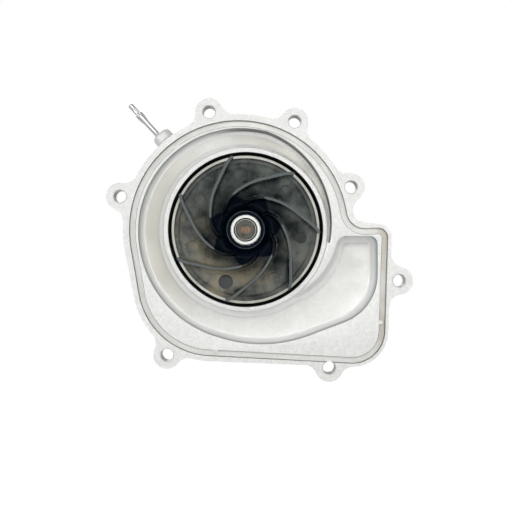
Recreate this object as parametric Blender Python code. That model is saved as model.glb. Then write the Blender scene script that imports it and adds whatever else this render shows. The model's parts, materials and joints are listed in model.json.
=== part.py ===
"""Coolant pump of a heavy vehicle engine: a scroll housing with an open impeller on its engine side
and a belt pulley on the far side.

Frame: the origin is where the shaft axis crosses the flange's mating face. +Y runs along the shaft
from the engine towards the belt, +Z is up and +X is to the right for someone who looks at the
mating face. Lengths are in millimetres, and MM turns them into Blender's metres.
"""

import math

import bmesh
import bpy
from mathutils import Matrix, Vector

MM = 0.001
TAU = math.tau
PAST = 6.0  # how far a cutter reaches past the surface that it opens
GAP = 0.3  # clearance between neighbouring solids
FACETS = 36  # facets round a turned piece
SMALL_FACETS = 24  # and round a small one

# Flange, as circles (x, z, radius) joined by common tangents. A negative radius is a hollow corner.
RIM = (-4.9, -0.3, 83.3)
LOWER_LEFT = (-24.0, -37.5, 57.5)
LOWER_RIGHT = (77.0, -73.0, 26.0)
OUTLET_CORNER = (95.5, -6.0, 10.0)
NECK = (86.1, 14.0, -8.8)
EAR_R = 10.0
EAR_FILLET_R = 9.0
EAR_CENTRES = {
    "outlet_top": (76.1, 30.5),
    "top_right": (35.5, 77.6),
    "top_left": (-26.2, 84.6),
    "left": (-90.4, 23.8),
    "lower_left": (-56.5, -90.4),
    "bottom": (60.3, -99.8),
    "right": (110.8, -37.0),
}
FLANGE_T = 11.0
EAR_T = 13.0
EAR_PAD_R = 9.3
BOLT_HOLE_R = 4.5
GROOVE_INSET = 4.6
GROOVE_W = 4.1
GROOVE_D = 3.5

# Scroll: the outer wall widens in arcs round the shaft, each up to an angle, and ends in a chain of
# circles round the outlet pocket.
SCROLL_ARCS = (
    (80.0, (-8.6, 4.1, 70.0)),
    (168.0, (-3.3, -0.9, 73.6)),
    (255.0, (2.2, -1.3, 79.2)),
)
POCKET_CHAIN = ((11.5, 14.0, 96.5), (59.0, -32.7, 35.5), (94.0, -5.7, 1.0))
TONGUE_DEG = -9.0
POCKET_DEG = 345.0
POCKET_END_Z = -4.7
POCKET_CORNER_R = 6.0
POCKET_END_STEPS = 5
RIDGE = (12.0, 3.0, 55.6)  # arc of the pocket's inner wall
TONGUE_DEPTH = 12.0
POCKET_DEPTH = 27.0
WALL = 4.5
STATION_DEG = 11.8

# Impeller chamber and the bores behind it, from the engine side to the belt side
LAND_Y = 3.0
LAND_OUTER_R = 59.6
TROUGH_INNER_R = 59.2
CHAMBER_R = 56.1
CHAMBER_FLOOR_Y = 21.0
SEAL_BORE_R = 18.4
SEAL_BORE_END_Y = 35.0
LEAK_R = 13.8
BEARING_SEAT_Y = 39.7
BEARING_BORE_R = 15.2
BOSS_END_Y = 76.0
BOSS_R = 23.0

# Rotor
SHAFT_R = 7.96
SHAFT_Y = (9.2, 99.0)
BUSH_R = 11.1
BUSH_Y = (9.0, 20.0)
IMPELLER_R = 53.8
IMPELLER_RIM_Y = 5.0
BLADES = 7
BLADE_TIP_DEG = 1.0
BLADE_T = 2.2
BLADE_TOP_Y = -3.0
BLADE_LINE = (  # (degrees past the tip, distance from the shaft axis)
    (0, 50.7), (6, 45.6), (14, 40.4), (26, 35.3), (39, 31.0), (52, 27.6), (66, 25.0), (79, 22.0), (91, 18.6))
FULL_HEIGHT_DEG = 52.0  # from here inwards the blade's edge falls to the hub
HUB_R = 14.1

# Bearing
RACE_R = (12.7, 15.0)
RACE_Y = (40.0, 78.0)
BALL_R = 3.0
BALL_PITCH_R = 10.35
BALL_ROWS_Y = {"front_ball_row": 49.0, "rear_ball_row": 69.0}
BALLS = 7

# Drive
HUB_FLANGE_R = 36.0
HUB_FLANGE_Y = (90.0, 97.0)
PULLEY_R = 65.0
PULLEY_Y = (68.0, 101.3)
PULLEY_WEB_T = 4.0
RIBS = 8
RIB_PITCH = 3.56
RIB_DEPTH = 2.8
BOLT_CIRCLE_R = 27.0
PULLEY_BOLTS = 4
HEXAGON_ACROSS = 13.0
WINDOW_CIRCLE_R = 42.0
WINDOW_R = 8.5

# Vent tube and leak chamber
TUBE_DEG = 132.8
TUBE_Y = 8.5
TUBE_SPAN = (82.0, 124.0)
TUBE_R = 2.0
TUBE_BORE_R = 1.2
TUBE_BOSS_OFFSET = 1.5
LEAK_CHAMBER = (0.0, -36.0)
LEAK_CHAMBER_R = 14.0
LEAK_CAP_R = 10.4
LEAK_CAP_Y = (42.0, 46.0)

CAST_ALUMINIUM = ("cast_aluminium", (0.78, 0.77, 0.74), 0.9, 0.45)
MOULDED_BLACK = ("moulded_black", (0.03, 0.032, 0.035), 0.0, 0.25)
BRIGHT_STEEL = ("bright_steel", (0.75, 0.75, 0.74), 1.0, 0.2)
BEARING_STEEL = ("bearing_steel", (0.55, 0.55, 0.56), 1.0, 0.3)
PLATED_STEEL = ("plated_steel", (0.8, 0.79, 0.74), 1.0, 0.25)
COATED_STEEL = ("coated_steel", (0.04, 0.04, 0.045), 0.3, 0.45)
BLACK_RUBBER = ("black_rubber", (0.02, 0.02, 0.02), 0.0, 0.7)
CARBON = ("carbon", (0.05, 0.05, 0.055), 0.0, 0.4)
CERAMIC = ("ceramic", (0.85, 0.84, 0.8), 0.0, 0.3)
STAINLESS = ("stainless", (0.6, 0.6, 0.6), 1.0, 0.3)


def clear_scene():
    for thing in list(bpy.data.objects):
        bpy.data.objects.remove(thing, do_unlink=True)


def material(finish):
    name, colour, metallic, roughness = finish
    made = bpy.data.materials.get(name) or bpy.data.materials.new(name)
    made.use_nodes = True
    shader = made.node_tree.nodes["Principled BSDF"]
    shader.inputs["Base Color"].default_value = (*colour, 1.0)
    shader.inputs["Metallic"].default_value = metallic
    shader.inputs["Roughness"].default_value = roughness
    made.diffuse_color = (*colour, 1.0)
    return made


def as_object(name, bm, finish=None):
    """A named object from a bmesh in millimetres. Without a finish it is a helper that isn't drawn."""
    bmesh.ops.remove_doubles(bm, verts=bm.verts, dist=1e-4)
    bmesh.ops.recalc_face_normals(bm, faces=bm.faces)
    bmesh.ops.scale(bm, vec=(MM, MM, MM), verts=bm.verts)
    mesh = bpy.data.meshes.new(name)
    bm.to_mesh(mesh)
    bm.free()
    thing = bpy.data.objects.new(name, mesh)
    bpy.context.scene.collection.objects.link(thing)
    if finish:
        mesh.materials.append(material(finish))
        mesh.shade_smooth()
        mesh.set_sharp_from_angle(angle=math.radians(30))
    else:
        thing.hide_render = True
        thing.display_type = "WIRE"
    return thing


def combine(target, operation, *others):
    """Boolean modifiers that join helpers to target, or cut them from it."""
    for other in others:
        modifier = target.modifiers.new(f"{operation.lower()}_{other.name}", "BOOLEAN")
        modifier.operation = operation
        modifier.object = other
    return target


def turned(name, profile, finish=None, facets=FACETS):
    """A closed (radius, y) profile turned about the Y axis."""
    bm = bmesh.new()
    ring = [bm.verts.new((radius, y, 0.0)) for radius, y in profile]
    edges = [bm.edges.new((a, b)) for a, b in zip(ring, ring[1:] + ring[:1])]
    bmesh.ops.spin(bm, geom=ring + edges, cent=(0, 0, 0), axis=(0, 1, 0), angle=TAU,
                   steps=facets, use_merge=True)
    return as_object(name, bm, finish)


def tube_profile(inner, outer, start, end):
    return ((inner, start), (outer, start), (outer, end), (inner, end))


def disc_profile(radius, start, end):
    return tube_profile(0.0, radius, start, end)


def prism(name, outline, start, end, finish=None):
    """An outline of (x, z) points extruded from y = start to y = end."""
    bm = bmesh.new()
    face = bm.faces.new([bm.verts.new((x, start, z)) for x, z in outline])
    grown = bmesh.ops.extrude_face_region(bm, geom=[face])["geom"]
    top = [item for item in grown if isinstance(item, bmesh.types.BMVert)]
    bmesh.ops.translate(bm, vec=(0, end - start, 0), verts=top)
    return as_object(name, bm, finish)


def loft(name, sections, finish=None):
    """A solid through loops of points, each with the same number of points, closed at both ends."""
    bm = bmesh.new()
    loops = [[bm.verts.new(point) for point in section] for section in sections]
    for first, second in zip(loops, loops[1:]):
        count = len(first)
        for i in range(count):
            j = (i + 1) % count
            bm.faces.new((first[i], first[j], second[j], second[i]))
    bm.faces.new(loops[0])
    bm.faces.new(reversed(loops[-1]))
    return as_object(name, bm, finish)


def place(thing, x=0.0, y=0.0, z=0.0):
    thing.location = Vector((x, y, z)) * MM
    return thing


def aim(thing, degrees, y, aside=0.0):
    """Turns a piece made along Y to point outwards at an angle round the shaft, at a height y."""
    angle = math.radians(degrees)
    out = Vector((math.cos(angle), 0, math.sin(angle)))
    across = Vector((math.sin(angle), 0, -math.cos(angle)))
    turn = Matrix((out.cross(across), out, across)).transposed()
    thing.rotation_euler = turn.to_euler()
    thing.location = (across * aside + Vector((0, y, 0))) * MM
    return thing


def edge_normal(first, second):
    """Angle of the outward normal of the tangent from one circle of an outline to the next."""
    (ax, az, ar), (bx, bz, br) = first, second
    lead = max(-1.0, min(1.0, (ar - br) / math.hypot(bx - ax, bz - az)))
    return math.atan2(bz - az, bx - ax) - math.acos(lead)


def outline(circles, step_deg, start=None, end=None):
    """Points round a closed chain of circles, or along an open one from normal angle start to end."""
    normals = [edge_normal(a, b) for a, b in zip(circles, circles[1:] + circles[:1])]
    points = []
    for i, (x, z, radius) in enumerate(circles):
        into = start if start is not None and i == 0 else normals[i - 1]
        out = end if end is not None and i == len(circles) - 1 else normals[i]
        slack = math.radians(3)
        side = math.copysign(1, radius)
        turn = side * ((side * (out - into) + slack) % TAU - slack)
        steps = max(1, round(abs(turn) / math.radians(step_deg)))
        for k in range(steps + 1):
            angle = into + turn * k / steps
            point = (x + radius * math.cos(angle), z + radius * math.sin(angle))
            if not points or math.dist(point, points[-1]) > 0.15:
                points.append(point)
    if math.dist(points[0], points[-1]) < 0.15:
        points.pop()
    return points


def inset(circles, distance):
    return [(x, z, radius - distance) for x, z, radius in circles]


def fillet_between(first, second, radius=EAR_FILLET_R):
    """Hollow circle that touches two round corners on the outer side of the way between them."""
    (ax, az, ar), (bx, bz, br) = first, second
    span = math.hypot(bx - ax, bz - az)
    ux, uz = (bx - ax) / span, (bz - az) / span
    along = ((ar + radius) ** 2 - (br + radius) ** 2 + span**2) / (2 * span)
    aside = math.sqrt((ar + radius) ** 2 - along**2)
    return (ax + along * ux + aside * uz, az + along * uz - aside * ux, -radius)


def fillets_on_edge(before, after, ear, radius=EAR_FILLET_R):
    """The two hollow circles beside an ear that stands on the straight edge between two corners."""
    angle = edge_normal(before, after)
    nx, nz = math.cos(angle), math.sin(angle)
    level = before[0] * nx + before[1] * nz + before[2] + radius
    along = ear[1] * nx - ear[0] * nz
    half = math.sqrt((ear[2] + radius) ** 2 - (level - ear[0] * nx - ear[1] * nz) ** 2)
    return [(level * nx - t * nz, level * nz + t * nx, -radius) for t in (along - half, along + half)]


def flange_circles():
    """The flange's outline with its seven ears, counter-clockwise for someone who faces the pump."""
    ears = {name: (x, z, EAR_R) for name, (x, z) in EAR_CENTRES.items()}
    chain = [NECK, ears["outlet_top"], fillet_between(ears["outlet_top"], RIM), RIM]
    for name in ("top_right", "top_left", "left"):
        chain += [fillet_between(RIM, ears[name]), ears[name], fillet_between(ears[name], RIM), RIM]
    corner = ears["lower_left"]
    chain += [LOWER_LEFT, fillet_between(LOWER_LEFT, corner)]
    chain += [corner, fillet_between(corner, LOWER_LEFT), LOWER_LEFT]
    bottom = ears["bottom"]
    chain += [fillets_on_edge(LOWER_LEFT, LOWER_RIGHT, bottom)[0]]
    chain += [bottom, fillet_between(bottom, LOWER_RIGHT)]
    below, above = fillets_on_edge(LOWER_RIGHT, OUTLET_CORNER, ears["right"])
    return chain + [LOWER_RIGHT, below, ears["right"], above, OUTLET_CORNER]


def reach(circle, degrees):
    """Distance from the shaft axis to a circle round it, at an angle."""
    x, z, radius = circle
    c, s = math.cos(math.radians(degrees)), math.sin(math.radians(degrees))
    return x * c + z * s + math.sqrt(radius**2 - (x * s - z * c) ** 2)


def crossing(chain, degrees):
    """Distance from the shaft axis to a chain of points, at an angle."""
    c, s = math.cos(math.radians(degrees)), math.sin(math.radians(degrees))
    for (ax, az), (bx, bz) in zip(chain, chain[1:]):
        a, b = az * c - ax * s, bz * c - bx * s
        if a <= 0 <= b and a != b and ax * c + az * s > 0:
            t = a / (a - b)
            return (ax + (bx - ax) * t) * c + (az + (bz - az) * t) * s
    raise ValueError(f"the scroll's wall doesn't reach {degrees} degrees")


def scroll_stations():
    """(inner point, outer point, depth) across the scroll, from the tongue to the pocket's end."""
    pocket = outline(list(POCKET_CHAIN), 4.0, math.radians(240), TAU / 4)
    steps = round((POCKET_DEG - TONGUE_DEG) / STATION_DEG)
    stations = []
    for k in range(steps + 1):
        share = k / steps
        degrees = TONGUE_DEG + share * (POCKET_DEG - TONGUE_DEG)
        c, s = math.cos(math.radians(degrees)), math.sin(math.radians(degrees))
        inner = max(TROUGH_INNER_R, reach(RIDGE, degrees) if degrees > 270 else 0)
        arc = next((circle for limit, circle in SCROLL_ARCS if degrees < limit), None)
        outer = reach(arc, degrees) if arc else crossing(pocket, degrees)
        depth = TONGUE_DEPTH + (POCKET_DEPTH - TONGUE_DEPTH) * share
        stations.append(((inner * c, inner * s), (outer * c, outer * s), depth))
    corner_z = POCKET_END_Z - POCKET_CORNER_R
    right = POCKET_CHAIN[-1][0] + POCKET_CHAIN[-1][2]
    ends = [(corner_z - 3.0, 0.0)]
    ends += [(corner_z + POCKET_CORNER_R * math.sin(a), POCKET_CORNER_R * (1 - math.cos(a)))
             for a in (TAU / 4 * k / (POCKET_END_STEPS - 1) for k in range(POCKET_END_STEPS))]
    for z, taken in ends:
        left = RIDGE[0] + math.sqrt(RIDGE[2] ** 2 - (z - RIDGE[1]) ** 2)
        stations.append(((left + taken, z), (right - taken, z), POCKET_DEPTH - taken))
    return stations


def trough_section(inner, outer, depth):
    """Section of the scroll's hollow: steep inner wall, rounded floor and a drafted outer wall."""
    width = math.dist(inner, outer)
    ux, uz = (outer[0] - inner[0]) / width, (outer[1] - inner[1]) / width
    draft = min(3.0, 0.15 * width)
    inner_r, outer_r = min(4.0, 0.28 * width), min(6.0, 0.35 * width)
    points = [(0.0, -PAST), (0.0, LAND_Y), (0.05 * width, depth - inner_r)]
    points += [(0.05 * width + inner_r * (1 - math.cos(a)), depth - inner_r * (1 - math.sin(a)))
               for a in (TAU / 8, TAU / 4)]
    points += [(width - draft - outer_r * (1 - math.sin(a)), depth - outer_r * (1 - math.cos(a)))
               for a in (0.0, TAU / 12, TAU / 6, TAU / 4)]
    points += [(width, 1.0), (width + 1.0, 0.0), (width + 3.0, -2.0), (width + 3.0, -PAST)]
    return [(inner[0] + t * ux, y, inner[1] + t * uz) for t, y in points]


def shell_section(inner, outer, depth, wall):
    """Section of the casting round the scroll, as far in as the impeller chamber's wall."""
    width = math.dist(inner, outer)
    ux, uz = (outer[0] - inner[0]) / width, (outer[1] - inner[1]) / width
    start, end, back, bend = -8.0, width + wall, depth + wall, 8.0
    points = [(start, 2.0), (end, 2.0)]
    points += [(end - bend * (1 - math.cos(a)), back - bend * (1 - math.sin(a)))
               for a in (0.0, TAU / 12, TAU / 6, TAU / 4)]
    points += [(start, back)]
    return [(inner[0] + t * ux, y, inner[1] + t * uz) for t, y in points]


def scroll_shell():
    """The casting round the scroll in two halves, because the outlet passes over the tongue."""
    stations = scroll_stations()
    split = len(stations) // 2
    first = [shell_section(*station, WALL) for station in stations[: split + 1]]
    second = [shell_section(*station, WALL + 0.7) for station in stations[split:-POCKET_END_STEPS]]
    left, right = second[-1][0][0], second[-1][1][0]
    narrowed = (right - left - WALL) / (right - left)
    end = [(left + (x - left) * narrowed, min(y, POCKET_DEPTH), POCKET_END_Z + WALL)
           for x, y, _ in second[-1]]
    return loft("shell_first", first), loft("shell_second", second + [end])


def rib(name, degrees, thickness, profile):
    """A flat rib whose (radius, y) profile stands out at an angle round the shaft."""
    bm = bmesh.new()
    face = bm.faces.new([bm.verts.new((radius, y, -thickness / 2)) for radius, y in profile])
    grown = bmesh.ops.extrude_face_region(bm, geom=[face])["geom"]
    side = [item for item in grown if isinstance(item, bmesh.types.BMVert)]
    bmesh.ops.translate(bm, vec=(0, 0, thickness), verts=side)
    made = as_object(name, bm)
    made.rotation_euler = (0, -math.radians(degrees), 0)
    return made


def housing():
    """The cast and machined housing with its flange, scroll, chamber, bearing boss and ribs."""
    body = prism("pump_housing", outline(flange_circles(), 22.0), 0.0, FLANGE_T, CAST_ALUMINIUM)
    combine(body, "UNION", *scroll_shell())
    chamber_back = CHAMBER_FLOOR_Y + 5.0
    boss = turned("boss", (
        (0.0, 1.5), (LAND_OUTER_R + 2, 1.5), (LAND_OUTER_R + 2, 17.0), (52.0, chamber_back - 2),
        (32.0, chamber_back), (BOSS_R + 3, chamber_back + 5), (BOSS_R, chamber_back + 14),
        (BOSS_R - 2, BOSS_END_Y - 3), (BOSS_R - 4, BOSS_END_Y), (0.0, BOSS_END_Y)))
    combine(body, "UNION", boss)
    for index, degrees in enumerate((30, 90, 150, 210, 330)):
        profile = ((16, 22), (62, 18), (66, 24), (40, 36), (20, 64), (16, 64))
        combine(body, "UNION", rib(f"boss_rib_{index}", degrees, 5.0, profile))
    middle = TONGUE_DEG + (POCKET_DEG - TONGUE_DEG) / 2
    joint_rib = ((50, 9), (82.7, 9), (82.7, 18), (76, 26), (50, 26.5))
    combine(body, "UNION", rib("scroll_rib", middle, 7.0, joint_rib))
    chamber = place(turned("leak_boss", disc_profile(LEAK_CHAMBER_R, 20.0, LEAK_CAP_Y[1]), facets=24),
                    LEAK_CHAMBER[0], 0.0, LEAK_CHAMBER[1])
    web = prism("leak_web", ((-9, -8), (-9, -40), (9, -40), (9, -8)), 23.0, 44.0)
    tube_boss = turned("tube_boss", (
        (0.0, 74.0), (7.0, 74.0), (7.0, 92.0), (5.0, 94.8), (0.0, 94.8)), facets=20)
    aim(tube_boss, TUBE_DEG, TUBE_Y, TUBE_BOSS_OFFSET)
    combine(body, "UNION", chamber, web, tube_boss)
    for name, (x, z) in EAR_CENTRES.items():
        pad = place(turned(f"pad_{name}", disc_profile(EAR_PAD_R, 6.0, EAR_T), facets=20), x, 0.0, z)
        combine(body, "UNION", pad)
    combine(body, "DIFFERENCE", *housing_cutters())


def housing_cutters():
    yield loft("trough", [trough_section(*station) for station in scroll_stations()])
    yield turned("bores", (
        (0.0, -PAST), (LAND_OUTER_R, -PAST), (LAND_OUTER_R, LAND_Y), (CHAMBER_R, LAND_Y),
        (CHAMBER_R, 14.0), (50.0, CHAMBER_FLOOR_Y - 1.5), (26.0, CHAMBER_FLOOR_Y),
        (SEAL_BORE_R, CHAMBER_FLOOR_Y), (SEAL_BORE_R, SEAL_BORE_END_Y), (LEAK_R, SEAL_BORE_END_Y),
        (LEAK_R, BEARING_SEAT_Y), (BEARING_BORE_R, BEARING_SEAT_Y),
        (BEARING_BORE_R, BOSS_END_Y + PAST), (0.0, BOSS_END_Y + PAST)), facets=48)
    base = [NECK, RIM, LOWER_LEFT, LOWER_RIGHT, OUTLET_CORNER]
    groove = prism("groove", outline(inset(base, GROOVE_INSET), 9.0), -PAST, GROOVE_D)
    core = prism("groove_core", outline(inset(base, GROOVE_INSET + GROOVE_W), 9.0), -PAST - 1, GROOVE_D + 1)
    yield combine(groove, "DIFFERENCE", core)
    for name, (x, z) in EAR_CENTRES.items():
        hole = turned(f"hole_{name}", disc_profile(BOLT_HOLE_R, -PAST, EAR_T + PAST), facets=20)
        yield place(hole, x, 0.0, z)
    seat, tip = TUBE_SPAN
    drilling = turned("tube_drilling", (
        (0.0, seat - 14), (TUBE_BORE_R, seat - 14), (TUBE_BORE_R, seat - GAP), (TUBE_R + 0.2, seat - GAP),
        (TUBE_R + 0.2, tip), (0.0, tip)), facets=16)
    yield aim(drilling, TUBE_DEG, TUBE_Y)
    hollow = turned("leak_hollow", disc_profile(LEAK_CAP_R + 0.2, 29.0, LEAK_CAP_Y[1] + PAST), facets=24)
    yield place(hollow, LEAK_CHAMBER[0], 0.0, LEAK_CHAMBER[1])
    weep = turned("weep_hole", disc_profile(2.5, 8.0, 30.0), facets=12)
    yield aim(weep, -90.0, 37.3)
    drain = turned("drain_hole", disc_profile(1.8, 40.0, 60.0), facets=12)
    yield aim(drain, -90.0, 36.0)


def impeller():
    """Moulded open impeller: a dished disc with a turned rim, a hub and seven swept blades."""
    rim = IMPELLER_RIM_Y
    disc = turned("impeller", (
        (BUSH_R + 0.2, 9.4), (HUB_R, 9.4), (HUB_R + 0.6, 10.2), (16.6, 14.2), (20.0, 15.0), (28.0, 12.6),
        (38.0, 9.8), (48.7, 7.8), (51.6, rim), (IMPELLER_R, rim), (IMPELLER_R, 10.5), (40.0, 14.2),
        (28.0, 17.6), (15.5, 18.6), (15.5, 20.0), (BUSH_R + 0.2, 20.0)), MOULDED_BLACK, facets=49)
    blade = blade_mesh()
    for k in range(BLADES):
        copy = bpy.data.objects.new(f"blade_{k + 1}", blade.data)
        bpy.context.scene.collection.objects.link(copy)
        copy.hide_render = True
        copy.display_type = "WIRE"
        copy.rotation_euler = (0, -math.radians(BLADE_TIP_DEG + 360 / BLADES * k), 0)
        combine(disc, "UNION", copy)
    bpy.data.objects.remove(blade)


def blade_mesh():
    """One blade along its centre line, with full height at the tip and a falling edge near the hub."""
    centre = [(math.radians(a), r) for a, r in BLADE_LINE]
    points = [(r * math.cos(a), r * math.sin(a)) for a, r in centre]
    sections = []
    for i, (x, z) in enumerate(points):
        before, after = points[max(i - 1, 0)], points[min(i + 1, len(points) - 1)]
        length = math.dist(before, after)
        nx, nz = (after[1] - before[1]) / length, -(after[0] - before[0]) / length
        share = max(0.0, (BLADE_LINE[i][0] - FULL_HEIGHT_DEG) / (BLADE_LINE[-1][0] - FULL_HEIGHT_DEG))
        top = BLADE_TOP_Y + 12.0 * share**1.3
        half = BLADE_T / 2 * (1 - 0.35 * share)
        radius = math.hypot(x, z)
        foot = 16.0 if radius < 24 else 16.0 - (radius - 24) * 0.27
        sections.append([(x + nx * half, top, z + nz * half), (x - nx * half, top, z - nz * half),
                         (x - nx * half, foot, z - nz * half), (x + nx * half, foot, z + nz * half)])
    return loft("blade", sections)


def race(side, y, facets=4):
    """Points of a ball groove in a turned profile, on the outer (+1) or inner (-1) side of the balls."""
    radius = BALL_R + 0.25
    edge = (RACE_R[0] - BALL_PITCH_R) if side > 0 else (BALL_PITCH_R - SHAFT_R)
    spread = math.acos(edge / radius)
    angles = [spread * (2 * k / (facets - 1) - 1) for k in range(facets)]
    return [(BALL_PITCH_R + side * radius * math.cos(a), y + radius * math.sin(a)) for a in angles]


def shaft():
    start, end = SHAFT_Y
    profile = [(0.0, start + 1.3), (1.5, start), (SHAFT_R - 0.6, start), (SHAFT_R, start + 0.6)]
    for y in BALL_ROWS_Y.values():
        profile += race(-1, y)
    profile += [(SHAFT_R, end - 0.8), (SHAFT_R - 0.8, end), (0.0, end)]
    turned("pump_shaft", profile, BEARING_STEEL, SMALL_FACETS)


def bearing():
    inner, outer = RACE_R
    start, end = RACE_Y
    profile = [(outer, start), (outer, end), (inner, end)]
    for y in reversed(BALL_ROWS_Y.values()):
        profile += reversed(race(1, y))
    turned("bearing_outer_ring", profile + [(inner, start)], BEARING_STEEL, 30)
    lip = tube_profile(SHAFT_R + GAP, inner - GAP, 0.0, 1.8)
    place(turned("bearing_front_seal", lip, BLACK_RUBBER, SMALL_FACETS), y=start + 0.6)
    place(turned("bearing_rear_seal", lip, BLACK_RUBBER, SMALL_FACETS), y=end - 2.4)
    for name, y in BALL_ROWS_Y.items():
        ball_row(name, y)


def ball_row(name, y):
    """Balls held in their cage. The cage passes through each ball's middle, so the row is one body."""
    strip = tube_profile(BALL_PITCH_R - 0.6, BALL_PITCH_R + 0.6, -1.9, 1.9)
    cage = turned(name, strip, BEARING_STEEL, 2 * BALLS)
    cage.location = Vector((0, y, 0)) * MM
    bm = bmesh.new()
    for k in range(BALLS):
        angle = TAU * k / BALLS
        spot = Matrix.Translation((BALL_PITCH_R * math.cos(angle), 0, BALL_PITCH_R * math.sin(angle)))
        bmesh.ops.create_icosphere(bm, subdivisions=2, radius=BALL_R, matrix=spot)
    balls = as_object(f"{name}_balls", bm)
    balls.location = cage.location
    combine(cage, "UNION", balls)


def shaft_seal():
    """The face seal between the coolant and the bearing, from the impeller to the leak cavity."""
    on_shaft = SHAFT_R + GAP
    turned("seal_mating_sleeve", (
        (on_shaft, 20.4), (15.0, 20.4), (15.0, 21.5), (9.7, 21.5), (9.7, 30.0), (on_shaft, 30.0)),
        STAINLESS, SMALL_FACETS)
    turned("seal_mating_ring", tube_profile(10.0, 14.8, 21.8, 24.8), CERAMIC, SMALL_FACETS)
    turned("seal_carbon_ring", (
        (10.2, 25.6), (11.2, 25.1), (13.4, 25.1), (13.4, 26.6), (14.6, 26.6), (14.6, 29.0), (10.2, 29.0)),
        CARBON, SMALL_FACETS)
    turned("seal_bellows", (
        (10.6, 29.3), (14.6, 29.3), (14.6, 30.6), (12.6, 31.3), (14.6, 32.0), (14.6, 33.0), (10.6, 33.0),
        (10.6, 32.0), (11.4, 31.3), (10.6, 30.6)), BLACK_RUBBER, SMALL_FACETS)
    turned("seal_cup", (
        (17.0, 19.6), (21.0, 19.6), (21.0, 20.7), (18.1, 20.7), (18.1, 34.4), (10.6, 34.4), (10.6, 33.4),
        (17.0, 33.4)), STAINLESS, 30)
    seal_spring()
    turned("slinger_ring", tube_profile(on_shaft, 12.6, 35.6, 37.2), BLACK_RUBBER, SMALL_FACETS)


def seal_spring(turns=4, per_turn=14, coil_r=15.8, wire_r=0.55, start=26.5, end=32.7):
    """Helical spring round the bellows, as a five-sided wire."""
    sections = []
    rise = (end - start) / (turns * TAU)
    for k in range(turns * per_turn + 1):
        angle = TAU * k / per_turn
        out = Vector((math.cos(angle), 0, math.sin(angle)))
        centre = out * coil_r + Vector((0, start + rise * angle, 0))
        sections.append([centre + out * wire_r * math.cos(a) + Vector((0, wire_r * math.sin(a), 0))
                         for a in (TAU * i / 5 for i in range(5))])
    loft("seal_spring", sections, STAINLESS)


def drive():
    """Pulley hub, ribbed pulley and the bolts between them."""
    start, end = HUB_FLANGE_Y
    hub = turned("pulley_hub", (
        (SHAFT_R + GAP, 81.0), (14.5, 81.0), (14.5, start), (HUB_FLANGE_R, start), (HUB_FLANGE_R, end),
        (15.0, end), (15.0, end + 3), (SHAFT_R + GAP, end + 3)), COATED_STEEL)
    face, back = PULLEY_Y
    groove_start = face + 2.4
    track = [(PULLEY_R - 7.5, face), (PULLEY_R + 0.5, face), (PULLEY_R + 0.5, face + 1.4)]
    for k in range(RIBS + 1):
        y = groove_start + k * RIB_PITCH
        track += [(PULLEY_R, y)] if 0 < k < RIBS else []
        track += [(PULLEY_R - RIB_DEPTH, y + RIB_PITCH / 2)] if k < RIBS else []
    last = groove_start + RIBS * RIB_PITCH
    track += [(PULLEY_R + 0.5, last), (PULLEY_R + 0.5, back - 0.8), (PULLEY_R - 1, back), (15.3, back),
              (15.3, back - PULLEY_WEB_T), (PULLEY_R - 7.5, back - PULLEY_WEB_T)]
    pulley = turned("pulley", track, COATED_STEEL)
    for k in range(PULLEY_BOLTS):
        angle = TAU * (k + 0.5) / PULLEY_BOLTS
        x, z = BOLT_CIRCLE_R * math.cos(angle), BOLT_CIRCLE_R * math.sin(angle)
        hole = turned(f"bolt_hole_{k}", disc_profile(4.4, start - PAST, back + PAST), facets=16)
        tapped = turned(f"tapped_hole_{k}", disc_profile(4.0, start - PAST, end + 1), facets=16)
        combine(hub, "DIFFERENCE", place(tapped, x, 0, z))
        beside = angle + TAU / 8
        window = turned(f"window_{k}", disc_profile(WINDOW_R, back - 12, back + PAST), facets=20)
        place(window, WINDOW_CIRCLE_R * math.cos(beside), 0, WINDOW_CIRCLE_R * math.sin(beside))
        combine(pulley, "DIFFERENCE", place(hole, x, 0, z), window)
        pulley_bolt(k + 1, x, z, back + GAP)


def pulley_bolt(number, x, z, seat):
    """Hexagon flange bolt: shank, pressed flange and head."""
    bolt = turned(f"pulley_bolt_{number}", (
        (0.0, seat - 14), (3.3, seat - 14), (3.7, seat - 13.4), (3.7, seat), (8.2, seat), (7.6, seat + 1.6),
        (5.6, seat + 2.4), (0.0, seat + 2.4)), PLATED_STEEL, SMALL_FACETS // 2)
    corner_r = HEXAGON_ACROSS / 2 / math.cos(TAU / 12)
    corners = [(corner_r * math.cos(a), corner_r * math.sin(a)) for a in (TAU * i / 6 for i in range(6))]
    head = prism(f"hexagon_{number}", corners, seat + 1.0, seat + 6.5)
    combine(bolt, "UNION", head)
    head.location = bolt.location = Vector((x, 0, z)) * MM


def vent_tube():
    """Plated tube pressed in its boss, with a bead that holds a hose on its end."""
    seat, tip = TUBE_SPAN
    tube = turned("vent_tube", (
        (TUBE_BORE_R, seat), (TUBE_R, seat), (TUBE_R, seat + 25.0), (TUBE_R + 0.75, seat + 29.0),
        (TUBE_R + 0.75, seat + 32.6), (TUBE_R - 0.1, seat + 33.4), (TUBE_R - 0.1, tip - 0.5),
        (TUBE_R - 0.5, tip), (TUBE_BORE_R, tip)), PLATED_STEEL, facets=20)
    aim(tube, TUBE_DEG, TUBE_Y)


def leak_chamber_cap():
    """Cup plug that closes the chamber where drops past the seal collect and dry."""
    start, end = LEAK_CAP_Y
    cap = turned("leak_chamber_cap", (
        (0.0, start), (LEAK_CAP_R - 0.8, start), (LEAK_CAP_R, start + 0.8), (LEAK_CAP_R, end),
        (LEAK_CAP_R - 1.2, end), (LEAK_CAP_R - 1.2, start + 1.3), (0.0, start + 1.3)),
        PLATED_STEEL, SMALL_FACETS)
    place(cap, LEAK_CHAMBER[0], 0.0, LEAK_CHAMBER[1])


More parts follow.
